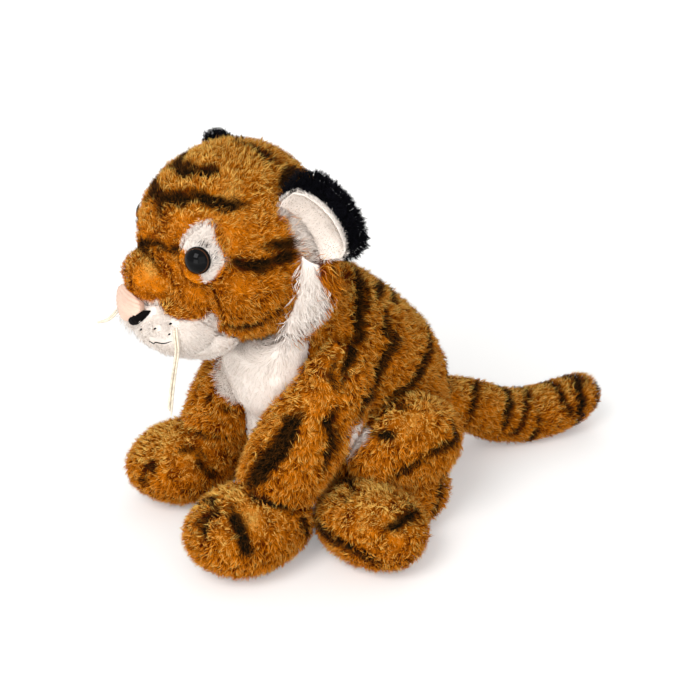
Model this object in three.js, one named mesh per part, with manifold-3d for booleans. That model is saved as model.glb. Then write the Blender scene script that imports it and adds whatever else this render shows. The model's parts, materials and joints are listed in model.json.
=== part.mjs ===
// A sitting plush tiger cub, millimetres, +Z up. It faces -Y and its left side is +X.
// Every stuffed form is a row of oval rings along a bent line, rounded off at both ends. The larger forms cut the
// smaller ones where they are sewn together, and a form on a joint is cut clear of its neighbour over its whole range.

import * as THREE from "three";
import { mergeVertices } from "three/addons/utils/BufferGeometryUtils.js";
import Module from "manifold-3d";

const wasm = await Module();
wasm.setup();

// Clearances that every piece shares
const seamGap = 0.35;
const jointGap = 0.8;
const floorCut = 0.5;
const weldDistance = 0.0001;

// Torso, upright from the rump to the neck
const torsoWidth = 108;
const torsoDepth = 150;
const torsoHeight = 170;
const rumpFlat = 3;

// Head, a ball that is fuller at the cheeks
const headWidth = 118;
const headLength = 121;
const headHeight = 116;
const headForward = 50;
const headLift = 191;
const headRestTurn = -4.5;

// Orange bridge of the snout
const snoutWidth = 60;
const snoutLength = 74;
const snoutDepth = 42;
const snoutDrop = 16;
const snoutForward = 52;

// White muzzle lobes and the jaw below them
const lobeWidth = 52;
const lobeLength = 52;
const lobeHeight = 41;
const lobeSpread = 13;
const lobeForward = 46;
const lobeDrop = 37;
const jawWidth = 76;
const jawLength = 66;
const jawHeight = 36;
const jawForward = 34;
const jawDrop = 46;

// Nose pad
const noseWidth = 38;
const noseHeight = 19;
const nosePad = 12;
const noseForward = 71;
const noseDrop = 29;

// Plastic eye, pushed through the head and held by a washer inside
const eyeDiameter = 15;
const eyeDome = 5.5;
const eyeRim = 1.2;
const eyeStemDiameter = 4.4;
const eyeStemLength = 15;
const washerDiameter = 16;
const washerThickness = 2;
const washerDepth = 7;
const eyePatchThickness = 1.6;
const eyePatchWidth = 27;
const eyePatchHeight = 35;

// Ear, a black cup with a white lining
const earWidth = 54;
const earHeight = 31;
const earThickness = 19;
const earRoot = 20;
const earLiningThickness = 4;
const earRim = 4;
const rightEarForwardTurn = 8;
const rightEarDownTurn = 7;

// White ruff behind the cheek
const ruffWidth = 25;
const ruffThickness = 13;
const ruffStrip = 62;

// White padded bib on the chest, and the belly panel that it runs into
const chestWidth = 74;
const chestDepth = 60;
const chestHeight = 96;
const chestForward = 36;
const chestLift = 112;
const bellyThickness = 1.6;
const bellyWidth = 76;

// Front leg and paw
const frontLegWidth = 52;
const frontLegDepth = 60;
const frontLegLength = 112;
const shoulderAside = 42;
const shoulderForward = 22;
const frontPawWidth = 60;
const frontPawLength = 82;
const frontPawHeight = 52;
const frontPawAside = 46;
const frontPawForward = 76;

// Hind leg, a thigh over a shank that lies on the floor, and its turned-out foot
const thighWidth = 48;
const thighLength = 78;
const thighHeight = 70;
const thighAside = 56;
const thighBack = 28.5;
const thighLift = 57;
const shankWidth = 42;
const shankLength = 80;
const shankHeight = 44;
const shankBack = 21;
const footWidth = 56;
const footLength = 74;
const footHeight = 48;
const footAside = 77;
const footForward = 9;
const footTurn = 22;

// Tail, lying on the floor behind the rump
const tailDiameter = 40;
const tailLength = 149;
const tailBack = 82;

// Neck ball that the head turns and nods on
const neckDiameter = 52;
const neckForward = 28;
const neckLift = 152;

// Pellet bag in the rump, put in through the closing seam
const bagWidth = 60;
const bagLength = 76;
const bagHeight = 44;
const bagBack = 30;
const bagLift = 36;
const closingSeam = 0.7;
const closingSeamLength = 46;

// Thread whiskers: the left one hangs, the right one stands out and droops
const whiskerDiameter = 2.6;
const whiskerHang = 56;
const whiskerReach = 40;
const whiskerAside = 33;
const whiskerForward = 56;
const whiskerDrop = 33;

// How far each joint moves, in degrees, which the cuts between neighbours follow
const headTurn = 14;
const nodDownTurn = 8;
const nodUpTurn = 8;
const shoulderTurn = 16;
const hipTurn = 20;
const tailTurn = 22;
const earFoldTurn = 16;

// Facets
const longSteps = 11;
const shortSteps = 8;
const sidesWide = 16;
const sidesNarrow = 12;
const lathePoints = 16;
const arcSteps = 4;
const curvePoints = 2;
const sweepSteps = 2;
const whiskerSides = 8;
const whiskerSteps = 20;

// How full the ends are: an oval, a plump oval and a blunt sausage
const roundShares = { oval: 2, plump: 2.6, blunt: 3.4 };

const v = (x, y, z) => new THREE.Vector3(x, y, z);
const acrossX = v(1, 0, 0);
const acrossY = v(0, 1, 0);
const upwards = v(0, 0, 1);
const half = 1 / 2;
const halfTurn = Math.PI;
const fullTurn = halfTurn + halfTurn;
const quarterTurn = halfTurn * half;

const colours = {
  orangePlush: 0xb96a20,
  whitePlush: 0xf2ebe4,
  blackPlush: 0x14141a,
  pinkSatin: 0xf2c9b8,
  eyePlastic: 0x160c06,
  washerPlastic: 0xe6e6e0,
  pelletBag: 0xd8d2c4,
  whiskerThread: 0xf6e6d2,
};

const plushRoughness = 0.95;
const glossRoughness = 0.08;

const material = (name) =>
  new THREE.MeshStandardMaterial({
    name,
    color: colours[name],
    roughness: name === "eyePlastic" ? glossRoughness : plushRoughness,
    metalness: 0,
  });

// Solids

function solidOf(geometry) {
  const bare = new THREE.BufferGeometry().setAttribute("position", geometry.getAttribute("position"));
  if (geometry.index) bare.setIndex(geometry.index);
  const merged = mergeVertices(bare, weldDistance);
  return new wasm.Manifold(
    new wasm.Mesh({
      numProp: 3,
      vertProperties: merged.attributes.position.array,
      triVerts: new Uint32Array(merged.index.array),
    }),
  );
}

function geometryOf(solid) {
  const { vertProperties, triVerts } = solid.getMesh();
  return new THREE.BufferGeometry()
    .setAttribute("position", new THREE.BufferAttribute(vertProperties, 3))
    .setIndex(new THREE.BufferAttribute(triVerts, 1));
}

const moved = (solid, matrix) => solid.transform(matrix.elements);

function turnedAbout(solid, pivot, axis, degrees) {
  const turn = new THREE.Matrix4()
    .makeTranslation(pivot.x, pivot.y, pivot.z)
    .multiply(new THREE.Matrix4().makeRotationAxis(axis, THREE.MathUtils.degToRad(degrees)))
    .multiply(new THREE.Matrix4().makeTranslation(-pivot.x, -pivot.y, -pivot.z));
  return moved(solid, turn);
}

// Everything that a solid passes through while it turns from one angle to another.
function sweptAbout(solid, pivot, axis, from, to, steps = sweepSteps) {
  let swept = turnedAbout(solid, pivot, axis, from);
  for (let step = 1; step <= steps; step++) {
    swept = swept.add(turnedAbout(solid, pivot, axis, THREE.MathUtils.lerp(from, to, step / steps)));
  }
  return swept;
}

const mirrored = (solid) => moved(solid, new THREE.Matrix4().makeScale(-1, 1, 1));

const sided = (solid, side) => (side === "left" ? solid : mirrored(solid));

// A stuffed form: each row of shares is a place along it as x, y and z of its size, then its half width and half depth.
function formOf({ at, size, wide, deep, shares, side = acrossX, round = roundShares.plump }) {
  const spine = shares.map(([x, y, z]) => v(x, y, z).multiply(size).add(at));
  const girth = shares.map(([, , , w, d]) => v(w * wide, d * deep, 0));
  return { spine, girth, side, round };
}

// The form's surface, grown outwards by a clearance: a ring at each step, and one point at each end.
function stuffed({ spine, girth, side, round }, grow = 0, rings = longSteps, sides = sidesWide) {
  const line = new THREE.CatmullRomCurve3(spine);
  const girths = new THREE.CatmullRomCurve3(girth, false, "catmullrom");
  const points = [];
  for (let ring = 0; ring <= rings; ring++) {
    const share = -Math.cos((halfTurn * ring) / rings);
    const t = half + half * share;
    const along = line.getTangent(t);
    const across = side.clone().addScaledVector(along, -side.dot(along)).normalize();
    const out = along.clone().cross(across);
    const middle = line.getPoint(t).addScaledVector(along, grow * share);
    const { x: wide, y: deep } = girths.getPoint(t);
    const taper = Math.max(1 - Math.abs(share) ** round, 0) ** (1 / round);
    if (ring === 0 || ring === rings) {
      points.push(middle);
      continue;
    }
    for (let spoke = 0; spoke < sides; spoke++) {
      const angle = (fullTurn * spoke) / sides;
      const aside = across.clone().multiplyScalar((wide + grow) * taper * Math.cos(angle));
      points.push(aside.addScaledVector(out, (deep + grow) * taper * Math.sin(angle)).add(middle));
    }
  }
  const [last, lastRing] = [points.length - 1, rings - 1];
  const vertex = (ring, spoke) => 1 + (ring - 1) * sides + (spoke % sides);
  const index = [];
  for (let spoke = 0; spoke < sides; spoke++) {
    const next = spoke + 1;
    index.push(0, vertex(1, next), vertex(1, spoke));
    index.push(last, vertex(lastRing, spoke), vertex(lastRing, next));
    for (let ring = 1; ring < lastRing; ring++) {
      const [a, b] = [vertex(ring, spoke), vertex(ring, next)];
      const [c, d] = [vertex(ring + 1, next), vertex(ring + 1, spoke)];
      index.push(a, b, c, a, c, d);
    }
  }
  return solidOf(new THREE.BufferGeometry().setFromPoints(points).setIndex(index));
}

// A turned piece whose axis points along a direction from a place.
function turned(profile, at, direction) {
  const lathe = new THREE.LatheGeometry(profile, lathePoints);
  const turn = new THREE.Quaternion().setFromUnitVectors(acrossY, direction);
  lathe.applyQuaternion(turn).translate(at.x, at.y, at.z);
  return solidOf(lathe);
}

const point2 = (x, y) => new THREE.Vector2(x, y);

function box(width, length, height, at) {
  const geometry = new THREE.BoxGeometry(width, length, height);
  geometry.translate(at.x, at.y, at.z);
  return solidOf(geometry);
}

const groundSize = headHeight + torsoHeight + tailLength;

const belowFloor = () =>
  box(groundSize + groundSize, groundSize + groundSize, groundSize, v(0, 0, -groundSize * half));

const onFloor = (solid) => solid.subtract(belowFloor());

// Torso

const torsoForm = formOf({
  at: v(0, 0, -rumpFlat),
  size: v(torsoWidth, torsoDepth, torsoHeight),
  wide: torsoWidth,
  deep: torsoDepth,
  shares: [
    [0, -0.11, 1, 0.31, 0.2],
    [0, 0.0, 0.77, 0.43, 0.32],
    [0, 0.11, 0.51, 0.475, 0.455],
    [0, 0.185, 0.26, 0.5, 0.465],
    [0, 0.2, 0, 0.43, 0.38],
  ],
  round: roundShares.blunt,
});

const neckPivot = v(0, -neckForward, neckLift);

function neckBall(grow = 0) {
  const radius = neckDiameter * half + grow;
  const ball = new THREE.SphereGeometry(radius, sidesWide, longSteps);
  ball.translate(neckPivot.x, neckPivot.y, neckPivot.z);
  return solidOf(ball);
}

const bagForm = formOf({
  at: v(0, bagBack, bagLift),
  size: v(bagWidth, bagLength, bagHeight),
  wide: bagWidth,
  deep: bagHeight,
  shares: [
    [0, -0.5, 0, 0.5, 0.5],
    [0, 0, -0.04, 0.5, 0.5],
    [0, 0.5, 0, 0.5, 0.5],
  ],
  round: roundShares.oval,
});

const closingSlit = () =>
  box(closingSeam, closingSeamLength, bagLift + bagLift, v(0, bagBack, 0));

function torso(headSweep) {
  return onFloor(
    stuffed(torsoForm)
      .subtract(headSweep)
      .subtract(neckBall(jointGap))
      .subtract(stuffed(bagForm, seamGap, shortSteps, sidesNarrow))
      .subtract(closingSlit()),
  );
}

// A padded bib that stands off the torso's front, and a thin panel that goes on from it over the belly.
const chestForm = formOf({
  at: v(0, -chestForward, chestLift),
  size: v(chestWidth, chestDepth, chestHeight),
  wide: chestWidth,
  deep: chestDepth,
  shares: [
    [0, 0.06, 0.5, 0.46, 0.46],
    [0, 0, 0.16, 0.5, 0.5],
    [0, 0.06, -0.2, 0.42, 0.46],
    [0, 0.2, -0.5, 0.26, 0.36],
  ],
});

const chestMass = (grow = 0) => stuffed(chestForm, grow, shortSteps, sidesWide);

// The panel's skin below the bib, at a clearance all round from itself.
function bellySkin(grow = 0) {
  const outlineShares = [
    [0.36, 0.7],
    [0.22, 0.46],
    [0.4, 0.36],
    [0.52, 0.24],
    [0.3, 0.08],
  ];
  const width = bellyWidth + grow + grow;
  const right = outlineShares.map(([x, z]) => point2(x * width, z * torsoHeight));
  const left = right.map(({ x, y }) => point2(-x, y)).reverse();
  const outline = new THREE.Shape();
  outline.moveTo(right[0].x, right[0].y);
  outline.splineThru([...right.slice(1), ...left]);
  const prism = new THREE.ExtrudeGeometry(outline, {
    depth: torsoDepth,
    bevelEnabled: false,
    curveSegments: curvePoints,
  });
  prism.rotateX(quarterTurn);
  return stuffed(torsoForm, seamGap + bellyThickness + grow).intersect(solidOf(prism));
}

const bellyPanel = (headSweep) =>
  onFloor(
    bellySkin()
      .add(chestMass())
      .subtract(stuffed(torsoForm, seamGap))
      .subtract(headSweep)
      .subtract(neckBall(jointGap)),
  );

// Head

const headCentre = v(0, -headForward, headLift);

const headForm = formOf({
  at: headCentre,
  size: v(headWidth, headLength, headHeight),
  wide: headWidth,
  deep: headLength,
  shares: [
    [0, -0.01, -0.5, 0.46, 0.44],
    [0, -0.03, -0.18, 0.51, 0.49],
    [0, -0.02, 0.16, 0.5, 0.5],
    [0, 0.03, 0.5, 0.42, 0.44],
  ],
  round: roundShares.oval,
});

const snoutForm = formOf({
  at: headCentre.clone().add(v(0, -snoutForward, -snoutDrop)),
  size: v(snoutWidth, snoutLength, snoutDepth),
  wide: snoutWidth,
  deep: snoutDepth,
  shares: [
    [0, 0.6, 0.2, 0.5, 0.5],
    [0, 0.15, 0.1, 0.5, 0.5],
    [0, -0.28, -0.04, 0.4, 0.42],
  ],
  round: roundShares.plump,
});

const skull = (grow = 0) => stuffed(headForm, grow).add(stuffed(snoutForm, grow, shortSteps, sidesNarrow));

const lobeForm = formOf({
  at: headCentre.clone().add(v(lobeSpread, -lobeForward, -lobeDrop)),
  size: v(lobeWidth, lobeLength, lobeHeight),
  wide: lobeWidth,
  deep: lobeHeight,
  shares: [
    [0.06, 0.5, 0, 0.5, 0.5],
    [0, 0, 0, 0.5, 0.5],
    [-0.06, -0.5, 0.04, 0.44, 0.44],
  ],
  round: roundShares.oval,
});

const jawForm = formOf({
  at: headCentre.clone().add(v(0, -jawForward, -jawDrop)),
  size: v(jawWidth, jawLength, jawHeight),
  wide: jawWidth,
  deep: jawHeight,
  shares: [
    [0, 0.5, 0.06, 0.42, 0.42],
    [0, 0, 0, 0.5, 0.5],
    [0, -0.5, 0, 0.36, 0.42],
  ],
  round: roundShares.oval,
});

const lobes = (grow = 0) => {
  const lobe = stuffed(lobeForm, grow, shortSteps, sidesNarrow);
  return lobe.add(mirrored(lobe));
};

const jawMass = (grow = 0) => stuffed(jawForm, grow, shortSteps, sidesWide);

// Where each eye goes in, and the way it points, square to the skull there
const eyePlaceShares = [0.369, -0.36, 0.078];
const eyeWayShares = [0.37, -0.325, 0.088];
const headSize = v(headWidth, headLength, headHeight);
const eyePlace = v(...eyePlaceShares).multiply(headSize).add(headCentre);
const eyeWay = v(...eyeWayShares).divide(headSize).normalize();
const eyeSeat = eyePlace.clone().addScaledVector(eyeWay, eyePatchThickness + seamGap);

function eyeBore(grow) {
  const radius = eyeStemDiameter * half + grow;
  const length = eyeStemLength + eyePatchThickness + seamGap;
  const profile = [
    point2(0, -length),
    point2(radius, -length),
    point2(radius, eyeDiameter),
    point2(0, eyeDiameter),
  ];
  return turned(profile, eyeSeat, eyeWay);
}

// The flat place below the eye's rim, which the white patch is pressed down to.
function eyeLanding() {
  const radius = eyeDiameter * half + seamGap;
  const profile = [point2(0, 0), point2(radius, 0), point2(radius, eyeDiameter), point2(0, eyeDiameter)];
  return turned(profile, eyeSeat, eyeWay);
}

function washerSolid(grow = 0, bored = true) {
  const outer = washerDiameter * half + grow;
  const low = -washerDepth - washerThickness - grow;
  const high = -washerDepth + grow;
  const profile = [point2(0, low), point2(outer, low), point2(outer, high), point2(0, high)];
  const disc = turned(profile, eyeSeat, eyeWay);
  return bored ? disc.subtract(eyeBore(seamGap)) : disc;
}

function eye() {
  const radius = eyeDiameter * half;
  const dome = Array.from({ length: arcSteps + 1 }, (_, step) => {
    const angle = (quarterTurn * step) / arcSteps;
    return point2(radius * Math.cos(angle), eyeRim + seamGap + eyeDome * Math.sin(angle));
  });
  dome[arcSteps].x = 0;
  const stem = eyeStemDiameter * half;
  const tip = -eyeStemLength + seamGap;
  const profile = [point2(0, tip), point2(stem * half, tip), point2(stem, tip + stem)];
  profile.push(point2(stem, seamGap), point2(radius, seamGap), ...dome);
  return turned(profile, eyeSeat, eyeWay);
}

function eyePatch() {
  const outline = new THREE.Shape();
  const spotShares = [
    [-0.48, -0.02],
    [-0.3, 0.3],
    [0.14, 0.56],
    [0.46, 0.3],
    [0.52, -0.14],
    [0.18, -0.4],
    [-0.3, -0.34],
  ];
  const spots = spotShares.map(([x, y]) => point2(x * eyePatchWidth, y * eyePatchHeight));
  outline.moveTo(spots[0].x, spots[0].y);
  outline.splineThru([...spots.slice(1), spots[0]]);
  const prism = new THREE.ExtrudeGeometry(outline, {
    depth: eyeDiameter + eyeDiameter,
    bevelEnabled: false,
    curveSegments: curvePoints,
  });
  prism.translate(0, 0, -eyeDiameter);
  const back = upwards.clone().cross(eyeWay).normalize();
  const rise = eyeWay.clone().cross(back);
  const frame = new THREE.Matrix4().makeBasis(back, rise, eyeWay).setPosition(eyePlace);
  return skull(seamGap + eyePatchThickness)
    .subtract(skull(seamGap))
    .intersect(solidOf(prism.applyMatrix4(frame)))
    .subtract(eyeLanding())
    .subtract(eyeBore(seamGap));
}

function head() {
  let shape = skull().subtract(neckBall(jointGap));
  for (const side of ["left", "right"]) {
    shape = shape
      .subtract(sided(eyeBore(seamGap + seamGap), side))
      .subtract(sided(washerSolid(seamGap, false), side));
  }
  return shape;
}

const muzzle = () => lobes().subtract(skull(seamGap));

const jaw = () => jawMass().subtract(skull(seamGap)).subtract(lobes(seamGap)).subtract(neckBall(jointGap));

const noseForm = formOf({
  at: headCentre.clone().add(v(0, -noseForward, -noseDrop)),
  size: v(noseWidth, nosePad, noseHeight),
  wide: noseWidth,
  deep: nosePad,
  shares: [
    [0, 0.25, 0.5, 0.46, 0.44],
    [0, 0, 0.16, 0.5, 0.5],
    [0, -0.1, -0.2, 0.3, 0.5],
    [0, -0.12, -0.5, 0.14, 0.4],
  ],
  round: roundShares.plump,
});

const nose = () =>
  stuffed(noseForm, 0, shortSteps, sidesNarrow).subtract(skull(seamGap)).subtract(lobes(seamGap));

// Ears: the base runs from high in front to low behind, and the cup opens forwards.

const earAlongShares = [0.28, 0.51, -0.81];
const earOutShares = [0.8, 0.31, 0.37];
const earGirthShares = [0.94, 1, 0.86];
const earAlong = v(...earAlongShares).normalize();
const earOut = v(...earOutShares).normalize();
const earFront = earOut.clone().cross(earAlong).negate().normalize();
const earUp = earOut.clone().addScaledVector(earAlong, -earOut.dot(earAlong)).normalize();
const earBase = headCentre.clone().addScaledVector(earOut, headWidth * half);

function earSolid(width, reach, forward, grow = 0) {
  const at = earBase.clone().addScaledVector(earFront, forward);
  const spine = [-earRoot, reach * half, reach].map((out) => at.clone().addScaledVector(earUp, out));
  const girth = earGirthShares.map((share) => v(width, earThickness, 0).multiplyScalar(share * half));
  return stuffed({ spine, girth, side: earAlong, round: roundShares.oval }, grow, shortSteps, sidesWide);
}

const earCup = (grow = 0) => earSolid(earWidth, earHeight, 0, grow);

// The lining fills the cup's hollow, and its own mouth lies further forward.
const earHollow = (grow = 0, forward = 0) =>
  earSolid(earWidth - earRim - earRim, earHeight - earRim, earThickness * half + forward, grow);

// The right ear is sewn on a little lower and further forward than the left one.
const lowered = (solid) =>
  turnedAbout(turnedAbout(solid, headCentre, acrossX, rightEarForwardTurn), headCentre, acrossY, rightEarDownTurn);
const loweredPoint = (point) =>
  point
    .clone()
    .sub(headCentre)
    .applyAxisAngle(acrossX, THREE.MathUtils.degToRad(rightEarForwardTurn))
    .applyAxisAngle(acrossY, THREE.MathUtils.degToRad(rightEarDownTurn))
    .add(headCentre);
const earEnd = earBase.clone().add(earAlong);

// What an ear passes over as it folds, on either side.
const ears = {
  left: { sewn: (solid) => solid, base: earBase, along: earAlong },
  right: {
    sewn: lowered,
    base: loweredPoint(earBase),
    along: loweredPoint(earEnd).sub(loweredPoint(earBase)),
  },
};
const earSwung = (solid, side) =>
  sweptAbout(solid, ears[side].base, ears[side].along, -earFoldTurn, earFoldTurn);

// Ruff: a band of long pile that follows the cheek from below the ear to the jaw.

const ruffForm = formOf({
  at: headCentre,
  size: v(headWidth, headLength, ruffStrip),
  wide: ruffWidth,
  deep: ruffThickness,
  shares: [
    [0.485, 0.1, 0.36, 0.24, 0.34],
    [0.5, 0.15, 0, 0.42, 0.5],
    [0.47, 0.15, -0.34, 0.5, 0.5],
    [0.37, 0.06, -0.74, 0.42, 0.42],
  ],
  side: acrossY,
  round: roundShares.plump,
});

const ruffMass = (grow = 0) => stuffed(ruffForm, grow, shortSteps, sidesNarrow);

// Front leg

const shoulder = v(shoulderAside, -shoulderForward, frontLegLength);

const frontLegForm = formOf({
  at: v(shoulderAside, -shoulderForward, 0),
  size: v(frontLegWidth, frontLegLength, frontLegLength),
  wide: frontLegWidth,
  deep: frontLegDepth,
  shares: [
    [-0.1, 0.14, 1.2, 0.32, 0.34],
    [0.02, 0.04, 0.9, 0.44, 0.44],
    [0.0, -0.2, 0.58, 0.5, 0.45],
    [-0.02, -0.38, 0.24, 0.48, 0.44],
  ],
  round: roundShares.blunt,
});

const frontPawForm = formOf({
  at: v(frontPawAside, -frontPawForward, frontPawHeight * half - floorCut),
  size: v(frontPawWidth, frontPawLength, frontPawHeight),
  wide: frontPawWidth,
  deep: frontPawHeight,
  shares: [
    [0.02, 0.5, -0.02, 0.4, 0.46],
    [0, 0.14, 0, 0.48, 0.52],
    [0, -0.16, 0.01, 0.52, 0.51],
    [-0.02, -0.5, 0.02, 0.42, 0.36],
  ],
  round: roundShares.plump,
});

const pawMass = (grow = 0) => stuffed(frontPawForm, grow, shortSteps, sidesWide);

// Hind leg

const hip = v(thighAside, thighBack, thighLift);

const thighForm = formOf({
  at: hip,
  size: v(thighWidth, thighLength, thighHeight),
  wide: thighLength,
  deep: thighHeight,
  shares: [
    [-0.5, 0.04, 0, 0.46, 0.46],
    [0, 0, 0, 0.5, 0.5],
    [0.5, -0.04, -0.06, 0.4, 0.4],
  ],
  side: acrossY,
  round: roundShares.plump,
});

const shankForm = formOf({
  at: v(thighAside, shankBack, shankHeight * half - floorCut),
  size: v(shankWidth, shankLength, shankHeight),
  wide: shankWidth,
  deep: shankHeight,
  shares: [
    [-0.04, 0.5, 0.02, 0.44, 0.44],
    [0.04, 0.1, 0, 0.5, 0.5],
    [0.2, -0.36, 0, 0.44, 0.46],
  ],
  round: roundShares.plump,
});

const footForm = formOf({
  at: v(0, 0, 0),
  size: v(footLength, footWidth, footHeight),
  wide: footWidth,
  deep: footHeight,
  shares: [
    [-0.5, 0, -0.02, 0.42, 0.44],
    [-0.16, 0, 0, 0.5, 0.5],
    [0.18, 0, 0, 0.5, 0.5],
    [0.5, 0, -0.04, 0.42, 0.42],
  ],
  side: acrossY,
  round: roundShares.plump,
});

function footMass(grow = 0) {
  const place = new THREE.Matrix4()
    .makeTranslation(footAside, -footForward, footHeight * half - floorCut)
    .multiply(new THREE.Matrix4().makeRotationZ(THREE.MathUtils.degToRad(footTurn)));
  return moved(stuffed(footForm, grow, shortSteps, sidesWide), place);
}

const legMass = (grow = 0) =>
  stuffed(thighForm, grow, shortSteps, sidesWide).add(stuffed(shankForm, grow, shortSteps, sidesNarrow));

// Tail

const tailRoot = v(0, tailBack, 0);

const tailForm = formOf({
  at: v(0, tailBack, tailDiameter * half - floorCut),
  size: v(tailLength, tailLength, tailDiameter),
  wide: tailDiameter,
  deep: tailDiameter,
  shares: [
    [0, 0, 0.9, 0.46, 0.46],
    [0, 0.25, 0.42, 0.49, 0.49],
    [0.04, 0.5, 0, 0.5, 0.5],
    [0.08, 0.76, 0.02, 0.5, 0.5],
    [0.07, 1, 0.2, 0.5, 0.5],
  ],
  round: roundShares.blunt,
});

// Whiskers: places along each one, as shares of its length from where it leaves the muzzle.

const whiskerHangShares = [
  [-0.1, 0.1, 0.04],
  [0, 0, 0],
  [0.04, -0.016, -0.037],
  [0.067, -0.02, -0.123],
  [0.052, -0.016, -0.245],
  [0.013, -0.042, -0.455],
  [-0.037, -0.064, -0.68],
  [-0.052, -0.108, -1],
];
const whiskerReachShares = [
  [0.14, 0.14, 0.06],
  [0, 0, 0],
  [-0.12, -0.1, -0.1],
  [-0.22, -0.22, -0.3],
  [-0.3, -0.35, -0.5],
  [-0.4, -0.45, -0.62],
  [-0.55, -0.58, -0.7],
];

function whisker(shares, length, exit) {
  const spots = shares.map(([x, y, z]) => v(x, y, z).multiplyScalar(length).add(exit));
  const section = new THREE.Shape();
  for (let corner = 0; corner < whiskerSides; corner++) {
    const angle = (fullTurn * corner) / whiskerSides;
    const [x, y] = [Math.cos(angle), Math.sin(angle)].map((share) => share * whiskerDiameter * half);
    if (corner === 0) section.moveTo(x, y);
    else section.lineTo(x, y);
  }
  const path = new THREE.CatmullRomCurve3(spots);
  const tube = new THREE.ExtrudeGeometry(section, { steps: whiskerSteps, extrudePath: path });
  return solidOf(tube).subtract(lobes(seamGap)).subtract(skull(seamGap)).subtract(jawMass(seamGap));
}

const whiskerExit = v(whiskerAside, -whiskerForward, -whiskerDrop);
const whiskerLeft = () => whisker(whiskerHangShares, whiskerHang, headCentre.clone().add(whiskerExit));
const whiskerRight = () => {
  const exit = whiskerExit.clone().reflect(acrossX).add(headCentre);
  return whisker(whiskerReachShares, whiskerReach, exit);
};

// The head is made facing straight ahead and rests turned a little on the neck.

const posed = (solid) => turnedAbout(solid, neckPivot, upwards, headRestTurn);
const nodAxis = acrossX.clone().applyAxisAngle(upwards, THREE.MathUtils.degToRad(headRestTurn));

// All that the head carries low enough to meet the torso, grown by the gap and turned through its range.
function headRange() {
  const low = skull(jointGap).add(jawMass(jointGap)).add(ruffMass(jointGap)).add(mirrored(ruffMass(jointGap)));
  const nodded = sweptAbout(posed(low), neckPivot, nodAxis, -nodUpTurn, nodDownTurn);
  return sweptAbout(nodded, neckPivot, upwards, -headTurn, headTurn);
}

// The whole animal

const root = new THREE.Group();

function add(name, solid, finish) {
  const mesh = new THREE.Mesh(geometryOf(solid), material(finish));
  mesh.name = name;
  root.add(mesh);
}

const headSweep = headRange();
const torsoGrown = stuffed(torsoForm, jointGap);

add("torso", torso(headSweep), "orangePlush");
add("belly_panel", bellyPanel(headSweep), "whitePlush");
add("pellet_bag", stuffed(bagForm, 0, shortSteps, sidesNarrow), "pelletBag");
add("neck", neckBall(), "orangePlush");
add("head", posed(head()), "orangePlush");
add("muzzle", posed(muzzle()), "whitePlush");
add("jaw", posed(jaw()), "whitePlush");
add("nose", posed(nose()), "pinkSatin");

const earBack = (side) =>
  ears[side].sewn(earCup().subtract(earHollow(seamGap))).subtract(earSwung(skull(seamGap), side));
const earLining = (side) =>
  ears[side]
    .sewn(earHollow().subtract(earHollow(0, earLiningThickness)))
    .subtract(earSwung(skull(seamGap), side));
const ruff = (side) =>
  ruffMass()
    .subtract(skull(seamGap))
    .subtract(jawMass(seamGap))
    .subtract(earSwung(ears[side].sewn(earCup(seamGap).add(earHollow(seamGap))), side));

const trunkGrown = torsoGrown.add(chestMass(jointGap)).add(bellySkin(jointGap));
const legSweep = sweptAbout(trunkGrown, shoulder, acrossX, 0, shoulderTurn);
const frontLeg = stuffed(frontLegForm)
  .subtract(legSweep)
  .subtract(pawMass(seamGap))
  .subtract(headSweep);
const frontPaw = onFloor(pawMass().subtract(legSweep));

const hipSweep = sweptAbout(torsoGrown, hip, acrossX, -hipTurn, 0);
const frontLimb = stuffed(frontLegForm, jointGap).add(pawMass(jointGap));
const limbSweep = sweptAbout(frontLimb, hip, acrossX, -hipTurn, 0);
const hindLeg = onFloor(legMass().subtract(hipSweep).subtract(footMass(seamGap)).subtract(limbSweep));
const hindFoot = onFloor(footMass().subtract(hipSweep).subtract(limbSweep));

for (const side of ["left", "right"]) {
  add(`eye_${side}`, posed(sided(eye(), side)), "eyePlastic");
  add(`eye_washer_${side}`, posed(sided(washerSolid(), side)), "washerPlastic");
  add(`eye_patch_${side}`, posed(sided(eyePatch(), side)), "whitePlush");
  add(`ear_back_${side}`, posed(sided(earBack(side), side)), "blackPlush");
  add(`ear_lining_${side}`, posed(sided(earLining(side), side)), "whitePlush");
  add(`cheek_ruff_${side}`, posed(sided(ruff(side), side)), "whitePlush");
  add(`front_leg_${side}`, sided(frontLeg, side), "orangePlush");
  add(`front_paw_${side}`, sided(frontPaw, side), "orangePlush");
  add(`hind_leg_${side}`, sided(hindLeg, side), "orangePlush");
  add(`hind_foot_${side}`, sided(hindFoot, side), "orangePlush");
}

const tailSweep = sweptAbout(torsoGrown, tailRoot, upwards, -tailTurn, tailTurn);
add("tail", onFloor(stuffed(tailForm).subtract(tailSweep)), "orangePlush");

// The origin is on the floor, below the middle of all but the whiskers.
const middle = new THREE.Box3().setFromObject(root).getCenter(v(0, 0, 0)).setZ(0);

add("whisker_left", posed(whiskerLeft()), "whiskerThread");
add("whisker_right", posed(whiskerRight()), "whiskerThread");
for (const mesh of root.children) mesh.geometry.translate(-middle.x, -middle.y, 0);

export default root;
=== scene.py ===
"""Plush tiger, sitting: pile coats, face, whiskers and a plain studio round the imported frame."""

import json
import math

import bmesh
import bpy
import numpy as np
from mathutils import Matrix, Vector
from mathutils.bvhtree import BVHTree
from mathutils.kdtree import KDTree

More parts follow.
